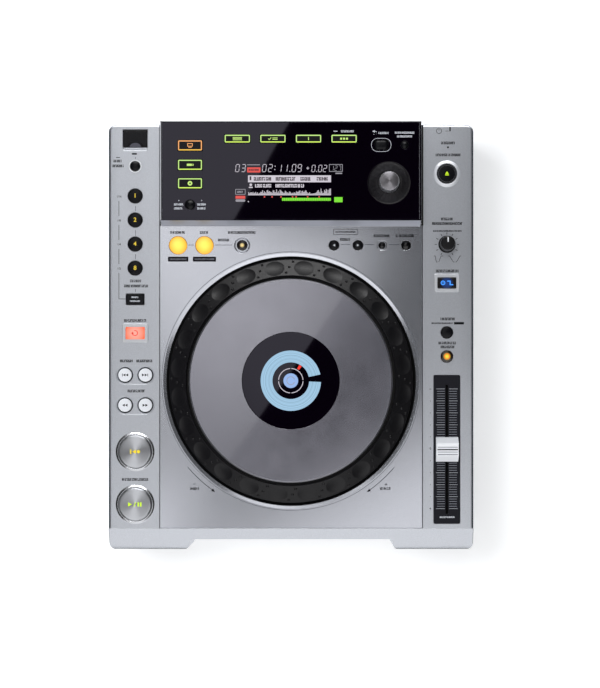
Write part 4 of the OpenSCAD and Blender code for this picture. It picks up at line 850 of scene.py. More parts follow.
def column_left():
    """Labels, lines and small parts of the left column, painted highlights at the USB lid, its
    lamp and the USB stop ring, and the beat keys' figures.
    """
    page = Print(COLUMN)
    page.words([(-148.3, -141.0, 147.1), (-149.2, -139.5, 143.0), (-134.5, -124.9, 46.9),
                (-139.5, -119.5, 42.7), (-139.5, -119.9, 13.9), (-142.9, -131.6, -19.9),
                (-129.2, -115.3, -19.9), (-136.5, -122.0, -45.0), (-141.2, -118.7, -118.9)])
    page.bar(-146.2, -142.9, 149.75, 150.3)
    for text, y in (("1/16", 117.4), ("1/8", 97.4), ("1/4", 77.4), ("1/2", 57.2)):
        page.figure(text, (-143.7, y), 1.7)
    for y0, y1 in ((101.2, 113.7), (81.1, 93.7), (61.1, 73.6)):
        page.bar(-144.0, -143.6, y0, y1)
    page.path([(-143.8, 53.6), (-143.8, 31.9), (-138.2, 31.9)], 0.4)
    page.made("left_column_labels", LABEL_INK, "silver_case")
    ticks = Print(COLUMN)
    for y0, y1 in ((105.4, 109.6), (84.5, 89.5), (65.3, 69.4), (37.7, 40.2), (149.0, 150.6)):
        ticks.bar(-130.1, -129.75, y0, y1)
    ticks.made("left_column_ticks", FAINT_INK, "silver_case")
    front = (spot("usb_lid")[0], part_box("usb_lid")[0].y / MM)
    # Painted highlight: a pale bar along the panel edge in front of the USB lid.
    lip = Print(COLUMN, 0.12, front).bar(-9.6, 9.6, -1.5, -0.6)
    lip.made("usb_lid_painted_highlight", PALE_INK_AND_HIGHLIGHT, "silver_case")
    # Painted highlight: a lighter grey half-oval on the lid's finger notch, where the notch
    # catches light.
    half_oval = [math.pi * i / 16 for i in range(17)]
    thumb = Print(height_on("usb_lid", front[0], front[1] + 2), 0.05, front)
    thumb.fill([(4.7 * math.cos(t), 0.1 + 3.7 * math.sin(t)) for t in half_oval])
    thumb.made("usb_lid_thumb_painted_highlight", finish("thumb_painted_highlight", (74, 74, 84), roughness=0.4,
                                            mottle=(60, 0.1)), "black_window", "usb_lid")
    lens = Print(COLUMN, 0.25).fill(plaque((-130.9, 153.05), (4.3, 1.3), 0.5))
    lens.made("usb_lamp_lens", BLACK, "black_key")
    # Painted highlight: a pale line along the lower edge of the USB lamp's slot.
    glint = Print(COLUMN, 0.08).bar(-132.8, -129.0, 151.7, 152.2)
    glint.made("usb_lamp_painted_highlight", PALE_INK_AND_HIGHLIGHT, "silver_case")
    # The ring round the USB stop key is real, but its white colour is a painted highlight on what
    # is a silver ring.
    ring = Print(COLUMN, 0.3).ring(spot("usb_stop_button"), 4.5, 5.4)
    ring.made("usb_stop_ring_painted_highlight", WHITE, "silver_case")
    gap = Print(COLUMN, 0.1).ring(spot("usb_stop_button"), 4.0, 4.5)
    gap.made("usb_stop_gap", BLACK, "silver_case")
    for number in "1248":
        node = "beat_button_" + number
        figure = on_key(node).figure(number, (0, 0), 3.6)
        figure.made(node + "_figure", BEAT_FIGURE, "black_key", node)
    node = "beat_select_button"
    label = on_key(node).words([(-3.0, 3.0, 1.6), (-4.2, 4.2, -1.6)], 1.3)
    label.made("beat_select_label", PALE_INK_AND_HIGHLIGHT, "black_key", node)


def direction_sign():
    """Turning arrow on the lit window of the direction key."""
    node = "direction_button"
    sign = on_key(node).ring((0, 0), 1.75, 2.4, 150, 270, 24)
    sign.ring((0, 0), 1.75, 2.4, -60, 170, 24)
    sign.fill([(-3.4, 0.3), (-0.9, 0.3), (-2.1, -1.6)])
    sign.made("direction_sign", lit("direction_sign_red", (226, 60, 46)), "red_lit_key", node)


def search_signs():
    """Arrow heads on the track search and search keys, with a stop bar on the first two."""
    for node, way, stop in (("track_back_button", -1, True), ("track_forward_button", 1, True),
                            ("search_back_button", -1, False),
                            ("search_forward_button", 1, False)):
        sign = on_key(node, 0.02)
        shift = -0.55 * way if stop else 0
        for step in (-1.15, 1.15):
            sign.triangle((step + shift, 0), 2.1, way)
        if stop:
            sign.bar(way * 2.1 - 0.25, way * 2.1 + 0.25, -1.1, 1.1)
        sign.made(node + "_sign", ICON_INK, "white_key", node)


def transport_signs():
    """Lit signs of the cue key and the play and pause key."""
    cue = on_key("cue_button").bar(-4.1, -3.0, -1.8, 1.8).triangle((-0.7, 0), 3.3, -1)
    cue.disc((2.9, 0), 1.4)
    cue.made("cue_sign_lit", CUE_SIGN, "metal_key", "cue_button")
    play = on_key("play_button").triangle((-4.1, 0), 3.3, 1)
    play.fill([(-1.3, -1.9), (-0.5, -1.9), (1.0, 1.9), (0.2, 1.9)])
    play.bar(2.1, 3.4, -1.8, 1.8).bar(4.2, 5.5, -1.8, 1.8)
    play.made("play_sign_lit", PLAY_SIGN, "metal_key", "play_button")


# ------------------------------------------------------------ right column

def column_right():
    """Labels and scales of the right column, and its standby lamp."""
    page = Print(COLUMN)
    page.words([(125.3, 137.8, 162.2), (120.9, 141.7, 152.2), (125.3, 135.7, 98.7),
                (117.8, 143.7, 94.9), (121.1, 139.9, 55.3), (124.9, 137.0, 15.2),
                (123.2, 137.8, -4.9), (124.9, 136.6, -8.2)])
    page.words([(118.6, 142.8, 88.7), (117.4, 135.4, 11.6)], 1.3)
    # Small picture of the power button, in and out.
    page.ring((123.6, 172.2), 1.95, 2.35, 115, 310).bar(123.42, 123.8, 172.6, 175.0)
    page.bar(129.0, 131.6, 172.0, 172.3).bar(132.3, 133.4, 172.0, 175.8)
    page.fill(plaque((140.3, 11.6), (8.4, 2.0), 0.3))
    # Steep and gentle slopes in front of the speed knob's two stops.
    page.path([(119.4, 67.8), (120.4, 67.8), (121.4, 62.8), (122.4, 62.8)], 0.4)
    page.path([(123.4, 62.8), (125.4, 67.8), (127.0, 67.8)], 0.4)
    page.path([(131.1, 67.8), (132.4, 67.8), (135.6, 62.8), (136.6, 62.8)], 0.4)
    page.path([(137.4, 62.8), (138.2, 62.8), (141.2, 67.8), (142.0, 67.8)], 0.4)
    x, y = spot("vinyl_speed_knob")
    for degrees in range(240, -61, -30):
        turn = math.radians(degrees)
        way = (math.cos(turn), math.sin(turn))
        page.path([(x + way[0] * r, y + way[1] * r) for r in (8.3, 10.2)], 0.45)
    # The tempo scale beside the fader: a minus and a plus at its ends, dots and a 0 between.
    x = 116.4
    page.bar(x - 0.75, x + 0.75, -43.6, -43.2).figure("0", (x, -93.1), 1.9)
    page.bar(x - 0.8, x + 0.8, -143.4, -143.0).bar(x - 0.2, x + 0.2, -144.0, -142.4)
    for step in range(1, 10):
        if step != 5:
            page.disc((x, -43.4 - step * 9.98), 0.3, 8)
    page.made("right_column_labels", LABEL_INK, "silver_case")
    Print(COLUMN, 0.15).disc((131.1, 158.6), 0.8).made("standby_lamp", BLACK, "black_key")


def gap_shades_and_side_line():
    """Black strips in the rubber finish beside the display block, a painted shadow where the
    block meets the columns; a black ring in the jog's opening, painted shade over the gap and the
    inner part of its bevel; a painted shade line on the bevel's outer edge; and a silver line on
    the block's left edge."""
    # Painted shadow: black strips along both sides of the display block, in the rubber finish.
    shadow_strips = Print(COLUMN, 0.15).bar(109.0, 110.5, 93.2, 177.2).bar(-109.6, -108.9, 93.2, 177.2)
    shadow_strips.made("display_block_painted_shadow", FINISHES["rubber"], "silver_case")
    # Painted shade: a black ring filling the gap round the jog ring and the inner part of the
    # opening's bevel.
    inner, outer = height_on("centre_panel", 0, JOG[1] + 103.3), DECK - 0.78
    gap_shade = [(101.95, inner), (101.95, inner + 0.15), (103.0, inner + 0.2),
            (104.35, outer + 0.1), (104.35, outer - 0.3), (103.0, inner - 0.1)]
    fixed_ring("jog_opening_painted_shade", gap_shade, JOG, DUST_STRIP_AND_GAP_SHADE, 128)
    # Painted shade: a thin grey line along the outer edge of the opening's bevel.
    edge_shade_line = Print(DECK, 0.02).ring(JOG, 107.95, 108.35, steps=128)
    edge_shade_line.made("jog_bevel_painted_shade_line", ink("bevel_edge_painted_shade", (104, 106, 112)), "silver_deck")
    line = Print(RIM, 0.04).bar(-107.95, -107.3, 95.9, 177.0)
    line.made("display_side_line", FRAME, "silver_deck")


def eject_collar():
    """Broad satin ring round the eject key, and a thin grey ring on the key's edge, a painted
    highlight of its chamfer.
    """
    ring = [(8.5, COLUMN + 0.3), (8.5, COLUMN + 0.9), (8.8, COLUMN + 1.1), (9.6, COLUMN + 0.95),
            (10.9, COLUMN + 0.35), (11.3, COLUMN + 0.05), (11.3, COLUMN - 0.1)]
    at = spot("eject_button")
    fixed_ring("eject_collar", ring, at, SATIN)
    # Painted highlight: a thin grey ring where the key's edge chamfer catches light.
    edge = Print(top("eject_button") - 0.35, 0.2).ring(at, 6.9, 7.15)
    edge.made("eject_key_painted_highlight", GREY_TRIM_AND_HIGHLIGHT, "black_key", "eject_button")


def key_signs_right():
    """Lit signs of the eject key and the jog mode key."""
    sign = on_key("eject_button").fill([(-1.5, -0.2), (1.5, -0.2), (0, 1.9)])
    sign.bar(-1.5, 1.5, -1.5, -0.7)
    sign.made("eject_sign_lit", PLAY_SIGN, "black_key", "eject_button")
    node = "jog_mode_button"
    sign = on_key(node).ring((-3.3, 0), 1.2, 1.9).disc((-3.3, 0), 0.5, 12)
    sign.path([(0.2, 1.5), (2.6, 1.5), (2.6, -1.5), (5.2, -1.5)], 0.9)
    sign.made("jog_mode_sign", lit("jog_mode_light", (60, 150, 255), 1.3), "black_key", node)


# ------------------------------------------------------------ tempo fader

# The fader's scale: the place of its first line, the step from line to line and their count.
SCALE_START, SCALE_PITCH, SCALE_LINES = -43.25, 2, 51


def fader_scale():
    """The fader's scale, with a longer line at every fifth step, its cap with bands of painted
    shade and a dark line, and its dust strip.
    """
    x = spot("fader_plate")[0]
    level = height_on("fader_plate", x + 6, -100)
    bright, dim = Print(level), Print(level)
    for step in range(SCALE_LINES):
        y = SCALE_START - SCALE_PITCH * step
        lines, reach = (bright, 9.0) if step % 5 == 0 else (dim, 8.3)
        for side in (-1, 1):
            lines.bar(*sorted((x + side * 1.75, x + side * reach)), y - 0.2, y + 0.2)
    bright.made("fader_scale_long", SCALE_INK, "black_panel")
    dim.made("fader_scale_short", ink("fine_scale_ink", (138, 140, 148)), "black_panel")
    label = Print(level).word(124.2, 137.0, -150.4, 1.3)
    label.made("fader_plate_label", PALE_INK_AND_HIGHLIGHT, "black_panel")
    node = "tempo_fader_cap"
    low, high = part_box(node)
    left, right, y = low.x / MM, high.x / MM, spot(node)[1]
    # Painted shade: grey bands of three tones across the cap's stepped valley.
    for y0, y1, shade in ((1.5, 2.4, 186), (-3.5, -1.7, 214), (-4.5, -3.8, 138)):
        step = Print(height_on(node, x, y + (y0 + y1) / 2) - 0.02, 0.2)
        step.bar(left + 1.0, right - 1.0, y + y0, y + y1)
        step.made("fader_cap_painted_shade", ink("fader_cap_painted_shade", (shade, shade + 2, shade + 6)),
                  "white_cap", node)
    line = Print(high.z / MM - 0.5).bar(left + 0.7, right - 0.7, y - 0.5, y + 0.4)
    line.made("fader_cap_line", ICON_INK, "white_cap", node)
    strip = Print(level - 1.5, 0.1).bar(x - 6, x + 6, -148, -39)
    strip.made("fader_dust_strip", DUST_STRIP_AND_GAP_SHADE, "black_panel")


# ------------------------------------------------------------ knobs

def fluted(name, profile, at, count, depth, sides):
    """Knob turned from a profile, fluted between two of its heights."""
    shape = bmesh.new()
    levels = []
    for r, z in profile:
        loop = around(at, r, count * 4)
        if sides[0] <= z <= sides[1]:
            for i in range(0, len(loop), 4):
                loop[i] = [a + (p - a) * (1 - depth / r) for p, a in zip(loop[i], at)]
        levels.append((loop, z))
    stack(shape, levels)
    return sealed(shape, name, 22)


def speed_knob():
    """Touch and release speed knob: a fluted skirted body and its pointer."""
    node = "vinyl_speed_knob"
    low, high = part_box(node)
    foot, peak = COLUMN + 0.4, high.z / MM
    profile = [(3, low.z / MM), (3, foot), (7.2, foot), (7.2, foot + 1.3), (6.6, foot + 1.9),
               (6.3, foot + 2.4), (5.95, peak - 1.0), (5.5, peak - 0.35), (4.9, peak - 0.05),
               (4.2, peak)]
    body = fluted(node, profile, spot(node), 22, 0.28, (foot + 2.3, peak - 0.9))
    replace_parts(added("speed_knob_body", body, FINISHES["black_knob"], node), node)
    mark = on_key(node, thick=0.08).bar(-0.5, 0.5, 0.8, 4.7)
    mark.made("speed_knob_pointer", WHITE, "white_key", node)


def selector():
    """Selector knob with its fluted side and turned top, and the gloss dish it stands in."""
    node = "selector_knob"
    low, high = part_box(node)
    at, peak, foot = spot(node), high.z / MM, low.z / MM
    profile = [(3.6, foot), (7.8, foot), (8.35, foot + 0.5), (8.35, peak - 4.0),
               (8.1, peak - 1.6), (7.75, peak - 0.5), (7.6, peak - 0.3), (7.4, peak - 0.3)]
    body = fluted(node, profile, at, 24, 0.6, (foot + 0.4, peak - 0.4))
    flutes = finish("knob_flutes", (226, 226, 231), metallic=0.9, roughness=0.34,
                    smudge=(80, 0.05))
    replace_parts(added("selector_knob_body", body, flutes, node), node)
    cap = turned("selector_top", [(0.15, peak - 0.02), (3, peak - 0.03), (7.0, peak - 0.06),
                                  (7.45, peak - 0.2), (7.45, peak - 0.6)], at)
    added("selector_knob_top", cap, GUNMETAL, node)
    depth = WINDOW - 2.6
    wall = [(4.85, depth + 0.12), (11.0, depth + 0.12), (11.6, depth + 0.3),
            (16.7, WINDOW - 0.1), (17.1, WINDOW + 0.03), (17.8, WINDOW + 0.05),
            (17.8, WINDOW - 0.2), (11.2, depth - 0.15), (4.85, depth - 0.15)]
    gloss = finish("dish_gloss", (26, 24, 27), roughness=0.2, mottle=(30, 0.08), metallic=0.3)
    fixed_ring("selector_dish", wall, at, gloss, 96)
    lip = [(16.6, WINDOW), (16.75, WINDOW + 0.16), (16.95, WINDOW + 0.2), (17.2, WINDOW + 0.12),
           (17.3, WINDOW), (16.9, WINDOW - 0.1)]
    fixed_ring("selector_dish_lip", lip, at, finish("lip_gloss", (14, 13, 16), roughness=0.1),
               96)


# ------------------------------------------------------------ deck

def deck_labels():
    """Labels, lines, arrows and badges of the deck, and the grooves round two of its keys."""
    page = Print(DECK)
    page.words([(-101.2, -88.7, 87.6), (-76.2, -69.1, 87.6), (-52.7, -29.3, 87.6),
                (-61.1, -51.4, 81.3), (40.9, 50.1, 81.8), (69.1, 82.3, 84.8),
                (87.8, 103.4, 84.8), (-84.5, -77.0, -126.6), (74.4, 83.6, -126.6)])
    page.outline((45.65, 88.1), (20.7, 4.8), 0.6, 0.35).word(37.2, 54.2, 88.1, 1.3)
    page.bar(-82.0, -79.6, -123.0, -122.6)
    page.bar(78.2, 80.6, -123.3, -122.9).bar(79.2, 79.6, -124.3, -121.9)
    # Curved arrows beside the jog, at its front left and front right.
    for side in (-1, 1):
        rim = around(JOG, 112.4, 14, -90 + side * 50.2, side * -14.6)
        page.path(rim, 0.45)
        (x0, y0), (x1, y1) = rim[-2:]
        turn = math.atan2(y1 - y0, x1 - x0)
        page.fill([(x1 + r * math.cos(turn + a), y1 + r * math.sin(turn + a))
                   for r, a in ((2.4, 0), (1.5, 2.1), (1.5, -2.1))])
    page.made("deck_labels", LABEL_INK, "silver_deck")
    lines = Print(DECK)
    for x0, x1, y in ((-85.9, -81.3, 77.1), (-63.6, -49.4, 77.1), (41.8, 49.3, 77.5),
                      (61.8, 69.4, 77.5), (81.9, 90.3, 77.5)):
        lines.bar(x0, x1, y - 0.2, y + 0.2)
    lines.made("deck_lines", FAINT_INK, "silver_deck")
    badge, words = Print(DECK), Print(DECK + 0.04)
    for x0, x1 in ((-102.9, -85.9), (-82.1, -62.7)):
        badge.fill(plaque(((x0 + x1) / 2, 65.3), (x1 - x0, 4.1), 0.6))
        words.word(x0 + 1.5, x1 - 1.5, 65.3, 1.3)
    badge.made("deck_badges", BADGE_INK, "silver_deck")
    words.made("deck_badge_words", ink("badge_word_ink", (120, 120, 128)), "silver_deck")
    for node, inner, outer in (("reloop_button", 5.2, 5.75), ("delete_button", 3.75, 4.1)):
        rim = Print(DECK - 0.25, 0.2).ring(spot(node), inner, outer)
        rim.made(node + "_groove", BLACK, "black_key")


def call_signs():
    """Arrow heads on the two call keys."""
    for node, way in (("call_back_button", -1), ("call_forward_button", 1)):
        sign = on_key(node, 0.02).triangle((0, 0), 1.9, way)
        sign.made(node + "_sign", PALE_INK_AND_HIGHLIGHT, "black_key", node)


# ------------------------------------------------------------ display block

def window_labels():
    """Labels and lines on the display window."""
    page = Print(WINDOW)
    page.words([(41.6, 52.3, 169.4), (72.5, 81.0, 168.0), (86.1, 102.1, 168.3),
                (87.8, 100.4, 165.2), (-96.5, -88.4, 109.0), (-96.5, -89.4, 105.7),
                (-77.3, -69.95, 109.0), (-77.3, -70.4, 105.7)], 1.7)
    page.bar(35.4, 38.6, 169.1, 169.8)
    page.path([(69.6, 169.3), (71.0, 169.3), (71.0, 166.9), (68.3, 166.9)], 0.45)
    page.fill([(67.3, 169.3), (69.4, 170.4), (69.4, 168.2)])
    x, y = spot("back_button")
    page.outline((x, y), (16.6, 11.3), 5.3, 0.38)
    page.disc((-92.4, 112.2), 0.45, 10).disc((-73.6, 112.2), 0.45, 10)
    page.made("window_labels", PALE_INK_AND_HIGHLIGHT, "black_window")


def key_sign(mark, sign):
    """Small plain sign in the middle of a lit key."""
    if sign == "desk":
        mark.outline((0, 0.45), (4.4, 2.7), 0.2, 0.5).bar(-1.4, 1.4, -1.9, -1.4)
    elif sign == "stick":
        mark.bar(-2.6, 1.2, -0.9, 0.9).outline((2.1, 0), (1.8, 1.4), 0.1, 0.4)
    elif sign == "disc":
        mark.ring((0, 0), 0.7, 1.9)
    elif sign == "lines":
        for row in (-1, 0, 1):
            mark.bar(-3.8, 3.8, row - 0.28, row + 0.28)
    elif sign == "ticks":
        mark.path([(-3.8, 0), (-3.0, -0.9), (-1.4, 1.0)], 0.5)
        for row in (-0.6, 0.6):
            mark.bar(-0.4, 3.8, row - 0.28, row + 0.28)
    elif sign == "info":
        mark.bar(-0.35, 0.35, -1.2, 0.4).disc((0, 1.05), 0.4, 10)
    elif sign == "bars":
        for column in (-2.4, 0, 2.4):
            mark.bar(column - 0.8, column + 0.8, -0.8, 0.8)


def key_lines():
    """Lit outlines and signs of the source keys and the keys over the screen."""
    signs = {"pc_button": "desk", "usb_button": "stick", "disc_button": "disc",
             "browse_button": "lines", "tag_list_button": "ticks", "info_button": "info",
             "menu_button": "bars"}
    for node, sign in signs.items():
        low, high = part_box(node)
        wide, deep = ((high[axis] - low[axis]) / MM - 2 * COLLAR for axis in (0, 1))
        line, front, light = GREEN_LINE, GREEN_FRONT, GREEN_SIGN
        if node == "pc_button":
            line, front, light = ORANGE_LINE, ORANGE_FRONT, ORANGE_LINE
        rim = on_key(node, thick=0.12).outline((0, 0), (wide - 0.3, deep - 0.3), 0.9, 0.85)
        rim.made(node + "_rim_lit", line, "black_key", node)
        edge = 0.15 - deep / 2
        bar = on_key(node, thick=0.16).bar(1.0 - wide / 2, wide / 2 - 1.0, edge, edge + 0.8)
        bar.made(node + "_front_lit", front, "black_key", node)
        mark = on_key(node)
        key_sign(mark, sign)
        mark.made(node + "_sign_lit", light, "black_key", node)


# Lit segments of each figure, named clockwise from the top, with g in the middle.
SEGMENTS = {"0": "abcdef", "1": "bc", "2": "abged", "3": "abgcd", "4": "fgbc", "5": "afgcd",
            "6": "afgedc", "7": "abc", "8": "abcdefg", "9": "abcdfg"}


def segments(screen, text, x, y, high, pitch):
    """Slanted seven-segment figures from a lower left corner, and where the next would start."""
    wide, half, lean, gap = high * 0.48, high / 2, 0.12, 0.1
    ends = {"a": ((0, 2), (1, 2)), "b": ((1, 2), (1, 1)), "c": ((1, 1), (1, 0)),
            "d": ((0, 0), (1, 0)), "e": ((0, 1), (0, 0)), "f": ((0, 2), (0, 1)),
            "g": ((0, 1), (1, 1))}
    for figure in text:
        if figure in ":.":
            for row in ((0.3, 0.75) if figure == ":" else (0.03,)):
                screen.disc((x + 0.2 + row * high * lean, y + row * high), high * 0.07, 8)
            x += pitch * 0.4
            continue
        for name in SEGMENTS[figure]:
            (i0, j0), (i1, j1) = ends[name]
            a = (x + i0 * wide + j0 * half * lean, y + j0 * half)
            b = (x + i1 * wide + j1 * half * lean, y + j1 * half)
            screen.path([[p + (q - p) * gap for p, q in zip(a, b)],
                         [q + (p - q) * gap for p, q in zip(a, b)]], high * 0.08)
        x += pitch
    return x


# How loud the trace on the screen is, up to each place along it.
LOUDNESS = ((-24, 1.3), (-4, 2.6), (6, 1.6), (13, 2.8), (21, 1.2), (33, 3.0))


def screen_picture():
    """Glowing rows of the screen: figures, bars, a level trace and its markers."""
    white, grey, red, green = (Print(WINDOW) for _ in range(4))
    segments(white, "03", -45.8, 136.0, 6.0, 5.0)
    x = segments(white, "02:", -23.6, 136.0, 6.0, 5.0)
    x = segments(white, "11", x + 0.6, 136.0, 6.0, 4.9)
    segments(white, ".09", x + 0.2, 136.0, 6.0, 4.7)
    white.bar(13.0, 15.2, 138.7, 139.2).bar(13.9, 14.4, 137.8, 140.1)
    segments(white, "0.02", 17.2, 136.0, 5.4, 3.95)
    grey.outline((37.3, 139.1), (11.2, 6.2), 0.3, 0.45).bar(37.0, 42.5, 134.2, 135.2)
    segments(grey, "127", 33.2, 137.0, 3.9, 3.0)
    grey.bar(-36.0, -25.4, 141.4, 142.0)
    red.fill(plaque((-30.5, 137.5), (11.0, 4.2), 0.5))
    tag = Print(WINDOW + 0.04).word(-34.8, -26.2, 137.5, 1.6)
    tag.made("screen_red_words", SCREEN_DARK, "black_window")
    white.bar(-35.3, 33.3, 127.3, 133.0)
    title = Print(WINDOW + 0.04).bar(-34.0, -32.6, 129.0, 132.2)
    for x0, x1 in ((-30.5, -15.5), (-12.4, 4.5), (8.0, 17.0), (21.5, 31.5)):
        title.word(x0, x1, 130.1, 3.0)
    title.made("screen_title_words", SCREEN_DARK, "black_window")
    white.bar(-34.6, -31.4, 122.6, 123.6).disc((-33.0, 125.2), 1.1, 12)
    white.word(-29.5, -15.5, 124.4, 2.8).word(-12.6, 11.4, 124.4, 2.8)
    x = -35.0
    while x < 33.0:
        loud = next(level for end, level in LOUDNESS if x < end)
        white.bar(x, x + 0.5, 117.0, 117.5 + loud * draw.uniform(0.2, 1.5))
        x += 0.72
    white.bar(-35.3, 33.3, 116.6, 117.1)
    for x in (-21.7, -15.4, -8.0, 1.5, 4.5, 14.0, 23.5):
        red.bar(x - 0.5, x + 0.5, 114.6, 115.9)
    for step in range(27):
        green.bar(-7.2 + step * 1.5, -5.85 + step * 1.5, 112.0, 114.4)
    green.fill(plaque((39.4, 112.9), (6.9, 4.2), 0.3))
    grey.outline((-41.6, 119.4), (8.4, 4.6), 0.3, 0.45).word(-44.3, -39.0, 119.4, 1.5)
    red.bar(-45.6, -37.6, 113.7, 116.1)
    grey.fill(plaque((-41.6, 112.2), (8.0, 2.0), 0.9))
    white.disc((-35.0, 111.3), 0.5, 8)
    white.made("screen_white_rows", SCREEN_WHITE, "black_window")
    grey.made("screen_grey_rows", SCREEN_GREY, "black_window")
    red.made("screen_red_rows", SCREEN_RED, "black_window")
    green.made("screen_green_bar", SCREEN_GREEN, "black_window")


# ------------------------------------------------------------ jog

def jog_picture():
    """Lit position ring, mark and middle under the jog's window."""
    blue = finish("position_ring_light", (30, 36, 44), roughness=0.25,
                  lines=(JOG, 0.0008, 0.5), glow=((152, 190, 216), 1.0))
    ring = Print(JOG_TOP).ring(JOG, 15.2, 25.0, 12, 345.5, 120)
    ring.made("position_ring", blue, "black_window")
    middle = Print(JOG_TOP).disc(JOG, 6.1, 48)
    middle.made("position_middle", lit("position_middle_light", (147, 180, 232)), "black_window")
    line = Print(JOG_TOP + 0.04).ring(JOG, 3.0, 3.5, 20, 320, 40)
    line.made("position_middle_line", SCREEN_GREY, "black_window")
    dashes = Print(JOG_TOP)
    for quarter in range(4):
        dashes.ring(JOG, 9.8, 10.4, quarter * 90 + 3, 84, 16)
    dashes.made("position_circle", SCREEN_WHITE, "black_window")
    turn = math.radians(57.3)
    along, across = (math.cos(turn), math.sin(turn)), (-math.sin(turn), math.cos(turn))
    mark = Print(JOG_TOP, at=JOG)
    mark.fill([(along[0] * r + across[0] * s, along[1] * r + across[1] * s)
               for r, s in ((11.2, -1.0), (14.9, -1.2), (14.9, 1.2), (11.2, 1.0))])
    mark.made("position_mark", lit("position_mark_light", (250, 40, 14)), "black_window")


# The jog ring's sloping band: its middle radius, half its width, and its inner and outer height.
BAND_MIDDLE, BAND_HALF = 94.2, 6.65
CREST, BRIM = 89.3, 82.9
# Its finger dimples: their count, the turn to the first and from each to the next, in degrees,
# and half their length and width and their depth, in millimetres.
DIMPLES, FIRST_TURN, TURN = 24, 8.3, 15
DIMPLE_LONG, DIMPLE_SHORT, DIMPLE_DEPTH = 8.3, 6.3, 1.25


def band_height(radius):
    """Height of the jog ring's sloping band."""
    return (CREST + BRIM) / 2 - (radius - BAND_MIDDLE) / (2 * BAND_HALF) * (CREST - BRIM)


def jog_ring_body():
    """Jog ring with oval finger dimples pressed into its band, and its web and hub."""
    long, short, half = math.degrees(DIMPLE_LONG / BAND_MIDDLE), DIMPLE_SHORT, TURN / 2
    shape = bmesh.new()
    made = {}

    def corner(radius, degrees, z):
        """The one vertex at a place on the ring."""
        key = (round(radius, 3), round(degrees % 360, 3) % 360, round(z, 3))
        if key not in made:
            turn = math.radians(degrees)
            made[key] = shape.verts.new(((JOG[0] + radius * math.cos(turn)) * MM,
                                         (JOG[1] + radius * math.sin(turn)) * MM, z * MM))
        return made[key]

    bend = math.atan2(BAND_HALF / short, half / long)
    quarter = [bend * i / 3 for i in range(3)] + [bend + (math.pi / 2 - bend) * i / 5
                                                  for i in range(5)]
    turns = quarter + [math.pi / 2] + [math.pi - t for t in quarter[:0:-1]]
    turns += [math.pi + t for t in turns]
    rim = set()
    for dimple in range(DIMPLES):
        base = FIRST_TURN + TURN * dimple
        edge = []
        for t in turns:
            u, v = long * math.cos(t), short * math.sin(t)
            reach = min(half / max(abs(u), 1e-9), BAND_HALF / max(abs(v), 1e-9))
            radius = BAND_MIDDLE + v * reach
            edge.append(corner(radius, base + u * reach, band_height(radius)))
            if abs(abs(v) * reach - BAND_HALF) < 1e-6:
                rim.add(round((base + u * reach) % 360, 3) % 360)
        rows = [edge]
        for share in (1, 0.94, 0.84, 0.7, 0.52, 0.32, 0.14):
            rows.append([corner(BAND_MIDDLE + short * share * math.sin(t),
                                base + long * share * math.cos(t),
                                band_height(BAND_MIDDLE + short * share * math.sin(t))
                                - DIMPLE_DEPTH * (1 - share ** 2)) for t in turns])
        for outer, inner in zip(rows, rows[1:]):
            for i, vert in enumerate(outer):
                j = (i + 1) % len(outer)
                shape.faces.new((vert, outer[j], inner[j], inner[i]))
        shape.faces.new(rows[-1])
    rim = sorted(rim)
    # From the band's outer edge down the skirt, under the web, round the hub, and over the web
    # and its rib to the band's inner edge.
    profile = [(BAND_MIDDLE + BAND_HALF, BRIM), (101.5, 82.3), (101.5, 74), (98.2, 74),
               (98.2, 80), (14, 80), (14, 70), (9.08, 70), (9.08, 82.5), (58, 82.5),
               (58, 88.8), (62, 88.8), (62, 82.5), (86.9, 82.5), (86.9, 88.8),
               (BAND_MIDDLE - BAND_HALF, CREST)]
    for (r0, z0), (r1, z1) in zip(profile, profile[1:]):
        for i, degrees in enumerate(rim):
            after = rim[(i + 1) % len(rim)]
            shape.faces.new((corner(r0, degrees, z0), corner(r0, after, z0),
                             corner(r1, after, z1), corner(r1, degrees, z1)))
    ring = added("jog_ring_body", sealed(shape, "jog_ring_body", 10), FINISHES["jog_black"],
                 "jog_ring")
    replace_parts(ring, "jog_ring")


def jog_studs():
    """Rows of small grip studs between the dimples."""
    shape = bmesh.new()
    for dimple in range(DIMPLES):
        for radius, shift in ((99.3, -1.8), (94.7, 0.0), (89.9, 1.7)):
            turn = math.radians(FIRST_TURN + TURN / 2 + TURN * dimple + shift)
            at = (JOG[0] + radius * math.cos(turn), JOG[1] + radius * math.sin(turn))
            z = band_height(radius)
            stack(shape, [(around(at, r, 12), z + h) for r, h in
                          ((1.15, -0.6), (1.15, 0.0), (1.05, 0.4), (0.75, 0.7), (0.3, 0.85))])
    added("jog_studs", sealed(shape, "jog_studs", 40), FINISHES["jog_black"], "jog_ring")


# ------------------------------------------------------------ rear

# Places of the jacks along the rear, the height of them all, the place of the mains inlet, and
# how far the panel that holds them lies inside the rear.
JACKS = {"phono_white": -120, "phono_red": -102, "digital": -82, "control": -64, "usb_b": -44}
JACK_Z, INLET_X, PANEL_INSET = 36, 70, 12


